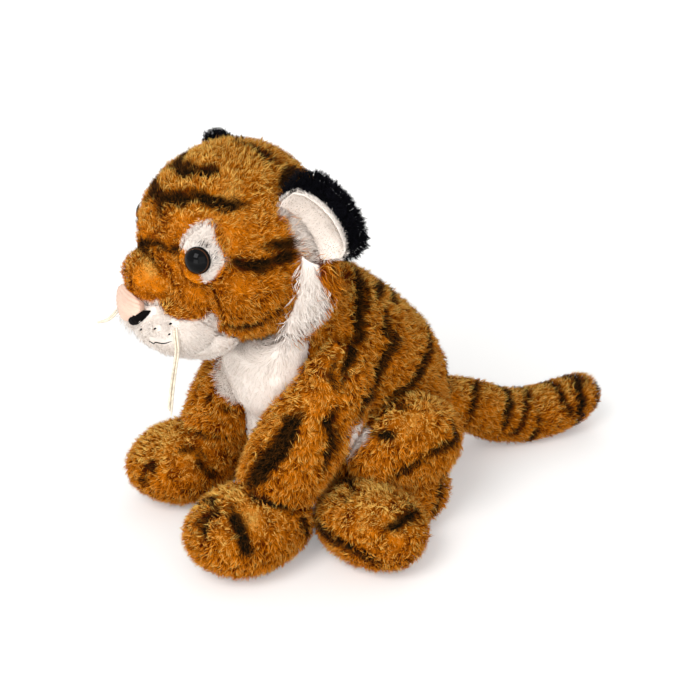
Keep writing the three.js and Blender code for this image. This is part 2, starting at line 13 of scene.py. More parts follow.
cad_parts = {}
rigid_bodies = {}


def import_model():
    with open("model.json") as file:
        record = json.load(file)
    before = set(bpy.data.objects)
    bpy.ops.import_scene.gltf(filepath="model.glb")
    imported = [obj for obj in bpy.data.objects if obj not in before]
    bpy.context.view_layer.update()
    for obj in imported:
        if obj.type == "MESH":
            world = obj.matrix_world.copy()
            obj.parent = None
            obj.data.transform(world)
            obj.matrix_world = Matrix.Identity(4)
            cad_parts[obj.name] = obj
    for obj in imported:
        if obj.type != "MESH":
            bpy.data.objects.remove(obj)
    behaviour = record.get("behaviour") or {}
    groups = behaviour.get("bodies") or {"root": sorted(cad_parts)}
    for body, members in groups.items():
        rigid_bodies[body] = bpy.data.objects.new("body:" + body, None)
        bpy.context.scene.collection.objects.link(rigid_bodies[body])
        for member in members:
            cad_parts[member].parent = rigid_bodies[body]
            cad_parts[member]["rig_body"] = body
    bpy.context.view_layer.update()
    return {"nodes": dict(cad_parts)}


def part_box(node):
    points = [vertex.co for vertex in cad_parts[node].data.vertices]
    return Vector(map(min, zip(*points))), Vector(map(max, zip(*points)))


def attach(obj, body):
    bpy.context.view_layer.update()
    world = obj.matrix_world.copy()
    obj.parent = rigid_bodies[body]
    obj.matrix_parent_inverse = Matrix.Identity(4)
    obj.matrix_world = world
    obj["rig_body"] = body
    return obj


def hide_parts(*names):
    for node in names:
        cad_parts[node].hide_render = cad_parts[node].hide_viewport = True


bl_info = {
    "name": "Plush Tiger",
    "version": (1, 0, 0),
    "blender": (4, 5, 0),
    "location": "3D View > Sidebar > Plush Tiger",
    "description": "Dresses the packed plush tiger in stitched and combed pile",
    "category": "Object",
}

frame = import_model()

MM = 0.001

# A guard against dividing by nothing, the gap over which points join, and a gap past all others.
TINY = 1e-12
WELD = 1e-6
FAR = 1.0

MAP_NAME = "OFBake"
FEWEST_STRANDS = 8
SIDES = (("left", 1), ("right", -1))

# The point that the head turns on, and its way to its own left.
NECK = np.array((0.0, -79.661, 152.0)) * MM
HEAD_SIDE = np.array((0.996917, -0.078459, 0.0))

# The way the left eye looks, and the middle of its seat.
EYE_AXIS = Vector((0.6945, -0.6965, 0.1807))
EYE_SEAT = Vector((40.28, -150.45, 200.57)) * MM

# Middle line of the tail, from the rump to the tip.
TAIL_LINE = np.array((
    (0, 40, 50), (-0.4, 50, 43.6), (-0.2, 60, 39), (0.6, 70, 34.4), (1.8, 80, 29.7),
    (3.5, 90, 25.3), (5.1, 100, 21.8), (6.9, 110, 19.8), (8.5, 120, 19.2), (10.2, 130, 19.5),
    (11.3, 140, 19.8), (11.8, 150, 21.2), (11.8, 160, 22.5), (11.6, 170, 23.9), (11.4, 182, 25.5),
)) * MM

# The left whisker hangs and the right one reaches out, both in millimetres.
HANG_ROUTE = (
    (26.78, -160.01, 158.0), (28.94, -161.08, 155.93), (30.43, -161.43, 151.11),
    (29.61, -161.14, 144.28), (27.32, -162.42, 132.52), (24.43, -163.43, 119.92),
    (23.4, -165.82, 102.0),
)
REACH_ROUTE = (
    (-39.02, -154.83, 158.0), (-44.12, -158.44, 154.0), (-48.48, -162.91, 146.0),
    (-52.08, -167.85, 138.0), (-56.38, -171.52, 133.2), (-62.77, -176.23, 130.0),
)

# Stitches on the left side: nostril, mouth and whisker dots, in millimetres.
NOSTRIL = ((-3.4, -175.2, 153.2), (0.9, -175.0, 155.8), (5.3, -174.2, 158.9), (9.5, -171.8, 162.1),
           (12.7, -168.4, 164.9))
MOUTH = ((14.4, -169.3, 149.4), (18.5, -167.5, 149.4), (23.1, -165.1, 149.2), (27.0, -162.3, 151.4))
DOTS = ((11.9, -173.4, 155.0), (20.5, -169.0, 157.2), (26.1, -162.0, 160.9), (27.3, -163.4, 155.2))

# How far back the neck's pile is white, from all white to none.
NECK_WHITE_ENDS = (-0.09, -0.08)

# White round the left eye, in millimetres across and up from the eye's middle.
EYE_WHITE = (
    (2.6, 20.9), (-3.1, 18.4), (-7.2, 15.8), (-11.2, 11.1), (-11.3, 5.8), (-6.4, 3.6),
    (-2.3, -1.7), (-0.4, -5.6), (0.6, -7.7), (3.1, -12.6), (5.9, -11.3), (8.7, -8.8),
    (14.8, 0.3), (12.3, 5.1), (8.6, 11.1), (6.4, 18.3),
)

# Ways across and up in the plane of the white patterns, which is square to the photo's view.
PATTERN_WAYS = ((0.5, 0.86603, 0), (-0.37964, 0.21919, 0.89879))

# White of the muzzle's left side, in millimetres across and up in the plane of its pattern.
MUZZLE_PLANE = ((20, -160, 160), *PATTERN_WAYS)
MUZZLE_WHITE = (
    (-60, 17), (-31, 15.5), (-9.9, 9.4), (-7.4, 11.6), (-5, 7.4), (-1.2, 2.9), (5, -0.1), (13.2, -0.9),
    (19.9, 0.9), (24.3, 5.2), (27, 0), (25.5, -6.5), (36.3, -11), (36.3, -60), (-60, -60),
)

# White of the left ruff, in the same way.
RUFF_PLANE = ((50, -100, 190), *PATTERN_WAYS)
RUFF_WHITE = (
    (-30, 60), (-30, -60), (-5.3, -44), (1.3, -43.5), (10.6, -36), (19.5, -27), (23.3, -21), (17.8, -10.8),
    (16.2, -1.9), (15.6, 15.1), (13.4, 60),
)

# White of the left ear's lining, in the same way; the pile outside it is black.
EAR_PLANE = ((66, -84, 212), *PATTERN_WAYS)
EAR_WHITE = (
    (-28.3, 23.2), (-25.6, 21.6), (-21.3, 21.6), (-15.9, 21.1), (-11.6, 19.5), (-7.3, 18.4), (-3.5, 16.2),
    (-0.3, 13), (2.4, 9.3), (5.6, 6.6), (7.8, 2.3), (8.8, -3.7), (9.4, -7.4), (10.4, -10.6), (9.4, -14.4),
    (6.7, -17.6), (2.4, -18.2), (-2.5, -18.7), (-6.2, -17.6), (-37.4, -17.6), (-37.4, 23.2),
)

# Where the stuffing swells and where stitches draw it in, as (millimetres, reach, point, ...).
SWELLS = (
    (2.6, 15, (0.3, -171.4, 184.5)), (2.2, 11, (28.8, -152.9, 175.8)), (2.4, 12, (-2, -163, 204)),
    (1.6, 22, (52.3, -123.0, 176.3)),
)
CREASES = (
    (1.7, 3.6, (17.4, -161.5, 188.3), (18.4, -160.6, 180.8), (17.9, -159.7, 173.8), (14.9, -162.3, 169.1)),
    (2.6, 3.8, (36, -149, 188), (39.6, -147, 184), (40.6, -146.1, 179.6), (39.0, -143.3, 172.7),
     (35.0, -138.4, 159.9)),
    (2.8, 3.4, (-1, -164.5, 198.6), (5.3, -163.4, 200.0), (14.2, -162.3, 200.3), (20.9, -159.5, 197.3),
     (25.6, -156.9, 196.0)),
)

# White routes on orange pile, in millimetres, as (width, point, point, ...).
WHITES = {
    "head": (
        (7.5, (44, -99, 221), (48, -95.3, 214.9), (50.7, -95.2, 210.2), (52.6, -93.6, 204.5),
         (55, -92, 199.5), (56.5, -91.5, 193), (56.5, -91, 186)),
        (10, (47, -90, 217), (52, -88, 209), (56, -87, 201), (58, -86, 192)),
    ),
    "front_leg_right": (
        (15, (-34, -106, 96), (-29, -106, 88), (-22, -102, 78)),
    ),
    "front_leg_left": (
        (6, (62, -63, 88), (62, -66, 80), (58, -66, 72)),
    ),
    "hind_leg_left": (
        (9, (58, -56, 76), (55.5, -57.8, 71), (49.2, -60.3, 61.5), (47, -60, 55)),
    ),
}

# Stripe routes in millimetres, as (width, point, point, ...), on the tiger's left side; the foot's last
# route is painted shade.
STRIPES = {
    "head": (
        (4.7, (-2, -105, 249), (6, -101, 248), (14, -97, 245), (18, -93, 242), (22, -88, 239)),
        (6.6, (-19, -139, 236), (-3, -139, 238), (5, -137, 239), (15, -130, 240), (20, -126, 239)),
        (6.9, (-21, -154, 218), (-7, -154, 225), (3, -152, 226), (15, -149, 226), (19, -144, 229),
         (23, -140, 229), (30, -136, 227), (34, -130, 227), (37, -124, 228), (39, -118, 227)),
        (5, (-28, -159, 187), (0, -164, 200), (14, -162, 202), (20, -160, 201), (26, -155, 203),
         (29.5, -153.5, 205.3)),
        (6.0, (52, -118, 206), (53, -112, 207), (53, -101, 206), (52, -96, 206)),
        (7.2, (48, -135, 202), (51, -131, 199), (53, -126, 197), (55, -119, 196), (57, -112, 198),
         (56, -103, 200), (55, -98, 200)),
        (4.1, (37, -136, 160), (39, -131, 158), (42, -124, 157), (43, -119, 157), (48, -113, 162),
         (52, -109, 166), (53, -103, 171)),
        (8, (37, -97, 231), (31, -89, 234), (25, -81, 235), (19, -73, 233)),
    ),
    "lash": (
        (4.8, (39.4, -150.6, 209.2), (42.8, -148.2, 208.8), (45.4, -145.8, 206.4), (47.4, -145.6, 202.9),
         (48.2, -146.7, 199.4)),
    ),
    "trunk": (
        (7.1, (0, -31, 162), (17, -35, 160), (26, -37, 155), (33, -42, 149), (38, -48, 142),
         (42, -48, 134), (51, -59, 130), (58, -68, 122), (61, -72, 115)),
        (5.2, (1, -10, 146), (19, -22, 149), (29, -29, 148)),
        (5.2, (0, -3, 141), (12, -6, 141), (22, -12, 140)),
        (7.7, (32, -26, 142), (40, -29, 132), (41, -22, 124), (45, -30, 119), (47, -37, 113),
         (49, -44, 102), (62, -57, 101), (63, -62, 90)),
        (6.4, (0, 16, 120), (20, 17, 114), (27, 15, 106), (38, 3, 103), (44, -6, 97),
         (48, -19, 92), (54, -30, 90), (58, -50, 81)),
        (7.1, (16, -92, 112), (21, -88, 117)),
        (5.8, (2, 16, 121), (11, 18, 117)),
        (6.5, (0, 38, 92), (12, 36, 89), (21, 32, 84), (21, 36, 68), (27, 32, 60)),
    ),
    "hind": (
        (5.2, (71, 2, 76), (77, 0, 70), (78, 0, 64), (81, -14, 65), (81, -21, 63), (80, -31, 59),
         (76, -40, 52), (73, -43, 46)),
        (4.6, (60, -30, 90), (66, -28, 88)),
        (5.9, (65, -51, 77), (72, -41, 78)),
        (5.2, (74, -2, 42), (73, -6, 28), (75, -9, 19), (75, -14, 13)),
    ),
    "foot": (
        (4.5, (52, -71, 41), (57, -63, 44), (74, -70, 46)),
        (4.5, (69, -78, 43), (76, -75, 44)),
        (7.0, (95, -44, 42), (102, -45, 39), (106, -59, 39), (105, -68, 36)),
        # Painted shade along the bottom edge of the foot, where its underside is in shadow.
        (5.1, (54, -86, 25), (77, -90, 25), (98, -81, 21), (105, -62, 8)),
    ),
    "leg": (
        (11.8, (56, -98, 100), (54, -104, 94), (56, -108, 86), (55, -114, 77), (53, -120, 71),
         (50, -125, 62), (49, -128, 53)),
        (4.3, (27, -113, 78), (25, -108, 81), (25, -105, 85)),
        (6.8, (65, -79, 102), (66, -85, 94), (68, -81, 84), (67, -89, 65)),
        (4.3, (50, -71, 130), (56, -77, 120), (63, -76, 110)),
    ),
    "paw": (
        (5.9, (29, -155, 40), (28, -150, 42), (30, -149, 43), (46, -148, 48)),
        (5.9, (58, -162, 35), (50, -160, 41), (49, -155, 45), (49, -148, 48)),
        (8.3, (53, -142, 50), (62, -145, 46), (69, -145, 40), (74, -145, 32), (73, -148, 27)),
        (5.2, (67, -104, 35), (65, -99, 18)),
        (4.0, (50, -130, 52), (58, -123, 50), (63, -116, 46), (64, -104, 39)),
    ),
    "far": (
        (3.7, (-42, -130, 52), (-29, -125, 52), (-22, -118, 51), (-19, -101, 45)),
        (4.9, (-27, -144, 44), (-27, -139, 45), (-24, -131, 44), (-21, -126, 40)),
        (4.9, (-22, -132, 42), (-18, -129, 36), (-17, -125, 29), (-18, -117, 24)),
        (4.3, (-32, -119, 73), (-29, -115, 76)),
        (4.3, (-22, -110, 71), (-19, -106, 69)),
        (5.6, (-34, -164, 33), (-32, -160, 36), (-31, -156, 39)),
        (4.3, (-35, -166, 28), (-30, -163, 28)),
    ),
    "tail": (
        (5.3, (2, 74, 53), (14, 67, 50), (17, 61, 43), (17, 57, 34)),
        (5.9, (-1, 103, 40), (5, 100, 42), (18, 93, 37), (23, 89, 28), (22, 86, 18)),
        (4.7, (4, 120, 38), (17, 112, 36), (24, 105, 29), (25, 99, 20), (20, 92, 12)),
        (4.7, (25, 116, 29), (28, 115, 20), (27, 113, 14), (19, 112, 3)),
        (4.7, (5, 142, 38), (21, 137, 37), (29, 138, 28), (30, 144, 17)),
        (7.5, (7, 165, 39), (20, 156, 38), (28, 153, 30), (30, 152, 21), (26, 152, 9),
         (25, 148, 8)),
        (4.1, (18, 175, 35), (24, 173, 27), (24, 170, 16)),
        (4.7, (0, 77, 53), (1, 82, 51)),
    ),
}


def srgb(red, green, blue):
    """A colour given as 0 to 255 on screen, as the linear values that a material takes."""
    return tuple(((c / 255 + 0.055) / 1.055) ** 2.4 if c > 10 else c / 3294.6
                 for c in (red, green, blue)) + (1.0,)


def colour_property(name, about, red, green, blue):
    """A setting for a colour given as 0 to 255 on screen."""
    return bpy.props.FloatVectorProperty(
        name=name, description=about, subtype="COLOR", size=4, min=0, max=1,
        default=srgb(red, green, blue))


def length_property(name, about, metres):
    """A setting for a length."""
    return bpy.props.FloatProperty(
        name=name, description=about, default=metres, min=0, unit="LENGTH", subtype="DISTANCE",
        precision=5)


class TigerPile(bpy.types.PropertyGroup):
    """How long, how thick and how close the pile stands."""

    body_length: length_property("Body pile", "Length of the pile on the body, legs and tail", 0.0068)
    head_length: length_property("Head pile", "Length of the pile on the head", 0.006)
    white_length: length_property("White pile", "Length of the white pile on chin and bib", 0.0045)
    ruff_length: length_property("Ruff pile", "Length of the hair behind the cheeks", 0.0115)
    ear_length: length_property("Ear pile", "Length of the black pile on the ears", 0.0064)
    strand_width: length_property("Strand width", "Thickness of one strand at its middle", 0.0004)
    tuft_size: length_property("Tuft size", "Distance from one tuft of pile to the next", 0.0018)
    backing_depth: length_property("Backing depth", "How far the backing cloth lies inside", 0.003)
    close_share: bpy.props.FloatProperty(
        name="Closeness", description="Number of strands as a share of the full number",
        default=1.0, min=0.02, max=1.5)
    seed: bpy.props.IntProperty(name="Seed", description="Start number of the random lie", default=7)


class TigerColours(bpy.types.PropertyGroup):
    """The colours of the pile, the face and the threads."""

    # The pile's dark root colour is painted shade deep between the tufts, and its pale tip colour is a
    # painted highlight on the ends.
    root: colour_property("Pile root", "Orange pile at the backing", 108, 37, 2)
    body: colour_property("Pile", "Orange pile half way up", 228, 129, 10)
    tip: colour_property("Pile tip", "Orange pile at its ends", 255, 213, 110)
    stripe: colour_property("Stripe", "Dark printed stripes", 25, 20, 10)
    white: colour_property("White pile", "White pile", 255, 245, 236)
    white_root: colour_property("White pile root", "White pile at the backing", 255, 244, 233)
    black: colour_property("Black pile", "Black pile on the ears", 10, 10, 15)
    satin: colour_property("Nose satin", "Pleated satin of the nose", 240, 204, 182)
    stitch: colour_property("Stitches", "Embroidery thread of nostrils, mouth and dots", 10, 7, 6)
    whisker: colour_property("Whiskers", "Waxed thread of the whiskers", 250, 238, 216)
    eye: colour_property("Eye", "Black plastic of the eye", 4, 4, 5)
    iris: colour_property("Iris", "Thin brown ring inside the eye", 78, 46, 22)
    washer: colour_property("Washer", "Plastic washer behind the eye", 232, 232, 228)
    bag: colour_property("Bag", "Cotton bag that holds the pellets", 226, 216, 196)


class TigerStage(bpy.types.PropertyGroup):
    """The camera and the lamps."""

    azimuth: bpy.props.FloatProperty(
        name="Azimuth", description="Camera's way round from straight ahead",
        default=math.radians(60), subtype="ANGLE")
    elevation: bpy.props.FloatProperty(
        name="Elevation", description="Camera's height above the horizon",
        default=math.radians(26), subtype="ANGLE")
    distance: length_property("Distance", "From the camera to the point it looks at", 0.7)
    look_at: bpy.props.FloatVectorProperty(
        name="Look at", description="Point in the middle of the view", default=(0.017, -0.06166, 0.11),
        subtype="XYZ", unit="LENGTH")
    focal: bpy.props.FloatProperty(
        name="Focal length", description="Focal length for a 36 mm sensor", default=58.06, min=10)
    key: bpy.props.FloatProperty(
        name="Key", description="Power of the main lamp in watts", default=11.7, min=0)
    fill: bpy.props.FloatProperty(
        name="Fill", description="Power of the filling lamp in watts", default=5.3, min=0)
    sky: bpy.props.FloatProperty(
        name="Sky", description="Strength of the even light from all round", default=0.55, min=0)
    floor: colour_property("Floor", "Colour of the floor", 244, 243, 241)


def colours():
    """The colour settings of this scene."""
    return bpy.context.scene.tiger_colours


def pile():
    """The pile settings of this scene."""
    return bpy.context.scene.tiger_pile


# Materials

# Sockets of the mix node: share, both vectors, both colours, and the results for each kind.
MIX_SHARE, MIX_VECTORS, MIX_COLOURS = 0, (4, 5), (6, 7)
MIXED_VECTOR, MIXED_COLOUR = 1, 2

# How high on a strand one colour gives way to the next, from 0 at its root to 1 at its tip.
# The dark roots are painted shade deep in the pile, and the pale tips are a painted highlight.
ROOT_TO_BODY = (0.2, 0.72)
BODY_TO_TIP = (0.6, 1.15)
PALE_FROM_ROOT = (0.0, 0.6)
STRIPE_FADES = (0.55, 1.0, 0.0, 0.14)

# How far a strand's own tone, and the way the skin faces, move those heights; pile on skin that faces up
# gets paler tips, a painted top light.
TONE_LIFTS = (0.0, 1.0, -0.3, 0.28)
TOP_PAINTED_PALER = (0.1, 1.0, -0.1, 0.1)

# How much lighter or darker a strand is for its tone and for its place, and how much less if white.
TONE_SHADES = (0.0, 1.0, 0.8, 1.1)
PLACE_SHADES = (0.3, 0.7, -0.06, 0.06)
SHADES_WHITE = (0.0, 1.0, 1.0, 0.3)

# How far a strand takes the light as the skin below it does, on orange and on white pile.
SKIN_SHADING = (0.0, 1.0, 0.5, 0.3)

# Waves in a metre of the pile's soft change of tone and of its fuzz, and how strong and deep that is.
FADED_WAVES, FUZZ_WAVES = 38.0, 1100.0
FUZZ_STRENGTH, FUZZ_DEPTH = 0.6, 0.0004

# How rough moulded plastic is from its least worn to its most worn places, and the flecks in the iris.
WORN_GLOSS = (0.3, 0.7, 0.32, 0.5)
IRIS_FLECKS = (0.3, 0.7, 0.0, 0.35)

# What each group puts out.
COLOUR_AND_NORMAL = [("Color", "NodeSocketColor"), ("Normal", "NodeSocketVector")]

# The inputs of the weave after its two colours: a stretch, and then plain numbers.
WEAVE_NUMBERS = ("Threads", "Depth", "Tone Scale", "Tone Detail", "Tone Low", "Tone High")

# Each woven finish: roughness, specular, sheen, its deeper tone as a share of its colour, its stretch
# and the numbers of its weave.
EVEN = (1.0, 1.0, 1.0)
THREAD = (0.6, 0.04, 0.0, 0.72, EVEN, 2400.0, 0.0001, 420.0, 3.0, 0.3, 0.7)
WOVEN = {
    "nose satin": (0.55, 0.2, 0.08, 0.86, (0.25, 0.25, 1.0), 2600.0, 0.00008, 210.0, 4.0, 0.35, 0.65),
    "whisker thread": THREAD,
    "stitching": THREAD,
    "bag cotton": (0.85, 0.3, 0.2, 0.8, EVEN, 1500.0, 0.0001, 60.0, 5.0, 0.3, 0.7),
}


def new_group(name, inputs, outputs):
    """An empty node group with these sockets, each given as a label and a kind."""
    group = bpy.data.node_groups.new(name, "ShaderNodeTree")
    for way, sockets in (("INPUT", inputs), ("OUTPUT", outputs)):
        for label, kind in sockets:
            group.interface.new_socket(label, in_out=way, socket_type=kind)
    return group, group.nodes.new("NodeGroupInput"), group.nodes.new("NodeGroupOutput")


def fed(tree, pairs):
    """Links an output to each socket, or sets the socket to a number or a colour."""
    for socket, value in pairs:
        if isinstance(value, bpy.types.NodeSocket):
            tree.links.new(value, socket)
        else:
            socket.default_value = value


def shader_node(tree, kind, *first, **named):
    """A new node with its first sockets and its named ones fed; a blank in a label is written _."""
    node = tree.nodes.new("ShaderNode" + kind)
    fed(tree, zip(node.inputs, first))
    fed(tree, [(node.inputs[label.replace("_", " ")], value) for label, value in named.items()])
    return node


def math_node(tree, kind, first, second, clamp=False):
    """The result of one sum."""
    node = shader_node(tree, "Math", first, second)
    node.operation, node.use_clamp = kind, clamp
    return node.outputs[0]


def mixed(tree, amount, first, second, kind="MIX"):
    """One colour mixed into another."""
    node = shader_node(tree, "Mix")
    node.data_type, node.blend_type = "RGBA", kind
    sockets = [node.inputs[k] for k in (MIX_SHARE, *MIX_COLOURS)]
    fed(tree, zip(sockets, (amount, first, second)))
    return node.outputs[MIXED_COLOUR]


def stepped(tree, value, low, high, out_low=0.0, out_high=1.0):
    """A soft step from one number to another while the value goes from low to high."""
    node = shader_node(tree, "MapRange", value, From_Min=low, From_Max=high, To_Min=out_low, To_Max=out_high)
    node.interpolation_type = "SMOOTHSTEP"
    return node.outputs["Result"]


def noise(tree, vector, scale, detail=3.0):
    """Soft noise of this many waves in a metre."""
    return shader_node(tree, "TexNoise", vector, Scale=scale, Detail=detail, Roughness=0.55).outputs["Fac"]


def marked(tree, name):
    """The outputs of a mark that the mesh carries."""
    node = shader_node(tree, "Attribute")
    node.attribute_name = name
    return node.outputs


def object_place(tree):
    """The place on the object itself."""
    return shader_node(tree, "TexCoord").outputs["Object"]


def seen_plainly(tree):
    """1 where the camera sees it, by itself or in a glossy or clear surface, and 0 elsewhere."""
    path = shader_node(tree, "LightPath").outputs
    seen = math_node(tree, "ADD", path["Is Camera Ray"], path["Is Glossy Ray"], True)
    return math_node(tree, "ADD", seen, path["Is Transmission Ray"], True)


def strand_colour(group, given, marks, skin, place):
    """Colour of a strand from its marks, the way its skin faces and its place; dark roots are painted shade,
    and pale tips a painted highlight, paler still on top as a painted top light.
    """
    stripe, height, tone = shader_node(group, "SeparateColor", marks["Color"]).outputs[:3]
    white = marks["Alpha"]
    level = math_node(group, "ADD", height, stepped(group, tone, *TONE_LIFTS))
    low = mixed(group, stepped(group, level, *ROOT_TO_BODY), given["Root"], given["Body"])
    facing = shader_node(group, "SeparateXYZ", skin).outputs["Z"]
    # Skin that faces up lifts the tips' paleness: a painted top light.
    wear_and_top_light = math_node(group, "ADD", level, stepped(group, facing, *TOP_PAINTED_PALER))
    high = mixed(group, stepped(group, wear_and_top_light, *BODY_TO_TIP), low, given["Tip"])
    pale = mixed(group, stepped(group, height, *PALE_FROM_ROOT), given["White Root"], given["White"])
    ground = mixed(group, white, high, pale)
    lightness = math_node(group, "ADD", stepped(group, tone, *TONE_SHADES),
                          stepped(group, noise(group, place, FADED_WAVES, 2.0), *PLACE_SHADES))
    spread = math_node(group, "MULTIPLY", math_node(group, "SUBTRACT", lightness, 1.0),
                       stepped(group, white, *SHADES_WHITE))
    shading = math_node(group, "ADD", spread, 1.0)
    shade = shader_node(group, "CombineColor", shading, shading, shading).outputs[0]
    toned = mixed(group, 1.0, ground, shade, "MULTIPLY")
    dark = mixed(group, stepped(group, height, *STRIPE_FADES), given["Stripe"], given["Body"])
    return mixed(group, stripe, toned, dark)


def strand_normal(group, white, skin, place):
    """Normal of a strand, part its own and part its skin's, with a fine fuzz on it."""
    turned = shader_node(group, "VectorTransform", skin)
    turned.vector_type, turned.convert_from, turned.convert_to = "NORMAL", "OBJECT", "WORLD"
    blend = shader_node(group, "Mix")
    blend.data_type = "VECTOR"
    sockets = [blend.inputs[k] for k in (MIX_SHARE, *MIX_VECTORS)]
    own = shader_node(group, "NewGeometry").outputs["Normal"]
    fed(group, zip(sockets, (stepped(group, white, *SKIN_SHADING), own, turned.outputs[0])))
    even = shader_node(group, "VectorMath", blend.outputs[MIXED_VECTOR])
    even.operation = "NORMALIZE"
    fuzz = shader_node(group, "Bump", Strength=FUZZ_STRENGTH, Distance=FUZZ_DEPTH,
                       Height=noise(group, place, FUZZ_WAVES), Normal=even.outputs[0])
    return fuzz.outputs[0]


def pile_colour_group():
    """Colour and normal of pile, from the marks on its strands: stripe, height, tone and white."""
    found = bpy.data.node_groups.get("pile colour")
    if found:
        return found
    labels = ("Root", "Body", "Tip", "Stripe", "White", "White Root")
    group, given, out = new_group(
        "pile colour", [(label, "NodeSocketColor") for label in labels], COLOUR_AND_NORMAL)
    marks, skin, place = marked(group, "marks"), marked(group, "lie")["Vector"], object_place(group)
    colour = strand_colour(group, given.outputs, marks, skin, place)
    fed(group, zip(out.inputs, (colour, strand_normal(group, marks["Alpha"], skin, place))))
    return group


def weave_group():
    """Colour and normal of woven thread: close cells for its relief and soft noise for its tone."""
    found = bpy.data.node_groups.get("weave")
    if found:
        return found
    inputs = [(label, "NodeSocketColor") for label in ("Color", "Deep Color")]
    inputs += [("Stretch", "NodeSocketVector")]
    inputs += [(label, "NodeSocketFloat") for label in WEAVE_NUMBERS]
    group, given, out = new_group("weave", inputs, COLOUR_AND_NORMAL)
    given = given.outputs
    where = shader_node(group, "Mapping", object_place(group), Scale=given["Stretch"]).outputs["Vector"]
    cells = shader_node(group, "TexVoronoi", where, Scale=given["Threads"]).outputs["Distance"]
    relief = shader_node(group, "Bump", Distance=given["Depth"], Height=cells)
    soft = noise(group, where, given["Tone Scale"], given["Tone Detail"])
    tone = stepped(group, soft, given["Tone Low"], given["Tone High"])
    colour = mixed(group, tone, given["Deep Color"], given["Color"])
    fed(group, zip(out.inputs, (colour, relief.outputs["Normal"])))
    return group


def group_on(tree, shader, group):
    """The group in a material, with its colour and normal on the shader."""
    node = shader_node(tree, "Group")
    node.node_tree = group
    fed(tree, ((shader.inputs["Base Color"], node.outputs["Color"]),
               (shader.inputs["Normal"], node.outputs["Normal"])))
    return node


def new_material(name, roughness, specular, sheen=0.0):
    """A new material with its tree and its one Principled shader."""
    material = bpy.data.materials.new(name)
    material.use_nodes = True
    shader = material.node_tree.nodes["Principled BSDF"]
    labels = ("Roughness", "Specular IOR Level", "Sheen Weight")
    fed(material.node_tree, zip([shader.inputs[label] for label in labels], (roughness, specular, sheen)))
    return material, material.node_tree, shader


def shaded(colour, share):
    """A colour made lighter or darker by a share."""
    return tuple(c * share for c in colour[:3]) + (1.0,)


def pile_material(name, black=False):
    """Pile of this name; on black pile the orange shades are shades of black."""
    found = bpy.data.materials.get(name)
    if found:
        return found
    shades = colours()
    material, tree, shader = new_material(name, roughness=0.85, specular=0.03, sheen=0.02)
    shader.inputs["Sheen Roughness"].default_value = 0.45
    # The darker root and paler tip are painted shade deep in the pile and a painted highlight on its ends,
    # on black pile as on orange.
    values = {"Root": shades.root, "Body": shades.body, "Tip": shades.tip, "Stripe": shades.stripe,
              "White": shades.white, "White Root": shades.white_root}
    if black:
        values.update({"Root": shaded(shades.black, 0.5), "Body": shades.black,
                       "Tip": shaded(shades.black, 2.1)})
    group = group_on(tree, shader, pile_colour_group())
    fed(tree, [(group.inputs[label], tuple(value)) for label, value in values.items()])
    return material


def woven_material(name, colour):
    """Cloth or thread with a fine weave and a soft change of tone."""
    roughness, specular, sheen, deep, *weave = WOVEN[name]
    material, tree, shader = new_material(name, roughness, specular, sheen)
    group = group_on(tree, shader, weave_group())
    fed(tree, zip(group.inputs, (tuple(colour), shaded(colour, deep), *weave)))
    return material


def moulded_material(name, colour):
    """Moulded plastic with a faint grain and an uneven gloss."""
    material, tree, shader = new_material(name, roughness=0.4, specular=0.5)
    place = object_place(tree)
    fine = noise(tree, place, scale=900.0, detail=4.0)
    grain = shader_node(tree, "Bump", Distance=0.00004, Height=fine)
    wear_and_top_light = noise(tree, place, scale=120.0)
    fed(tree, ((shader.inputs["Normal"], grain.outputs["Normal"]),
               (shader.inputs["Roughness"], stepped(tree, wear_and_top_light, *WORN_GLOSS)),
               (shader.inputs["Base Color"], mixed(tree, wear_and_top_light, shaded(colour, 0.9), tuple(colour)))))
    return material


def eye_material():
    """Black glossy plastic with a thin brown ring, told by the mark "ring" on the dome."""
    material, tree, shader = new_material("eye plastic", roughness=0.08, specular=0.07)
    shader.inputs["Coat Weight"].default_value = 0.05
    shader.inputs["Coat Roughness"].default_value = 0.02
    black, iris = tuple(colours().eye), tuple(colours().iris)
    # The faint grey in the middle of the dome is a painted reflection. The black outside the brown ring is
    # the plastic's own black and also stands for the painted shade of the socket.
    stops = ((0.0, shaded(black, 1.6)), (0.5, black), (0.85, black), (0.87, iris), (0.9, iris),
             (0.92, black), (1.0, black))
    ramp = shader_node(tree, "ValToRGB", marked(tree, "ring")["Fac"])
    while len(ramp.color_ramp.elements) < len(stops):
        ramp.color_ramp.elements.new(0.5)
    for element, (place, shade) in zip(ramp.color_ramp.elements, stops):
        element.position, element.color = place, shade
    fine = noise(tree, object_place(tree), scale=1400.0, detail=2.0)
    fleck = stepped(tree, fine, *IRIS_FLECKS)
    tree.links.new(mixed(tree, fleck, ramp.outputs["Color"], black), shader.inputs["Base Color"])
    return material


# Shapes

# A form's loose bits with less than this share of its points are crumbs.
CRUMB_SHARE = 0.06

# The drift is a sum of this many waves of about this pace, which come to this length together.
DRIFT_WAVES = 10
DRIFT_PACE = 2.4
DRIFT_LENGTH = 3.2


def add_object(name, data):
    """A new object that holds this mesh, curve, camera or lamp."""
    piece = bpy.data.objects.new(name, data)
    bpy.context.scene.collection.objects.link(piece)
    return piece


def finished(bm, name, finish):
    """The shape as a smooth object with its finish."""
    for face in bm.faces:
        face.smooth = True
    mesh = bpy.data.meshes.new(name)
    bm.to_mesh(mesh)
    bm.free()
    mesh.materials.append(finish)
    return add_object(name, mesh)


def evaluated(piece):
    """An object's mesh with its modifiers or its bevel applied; the object itself goes."""
    depsgraph = bpy.context.evaluated_depsgraph_get()
    mesh = bpy.data.meshes.new_from_object(piece.evaluated_get(depsgraph))
    bpy.data.objects.remove(piece)
    bm = bmesh.new()
    bm.from_mesh(mesh)
    bpy.data.meshes.remove(mesh)
    return bm


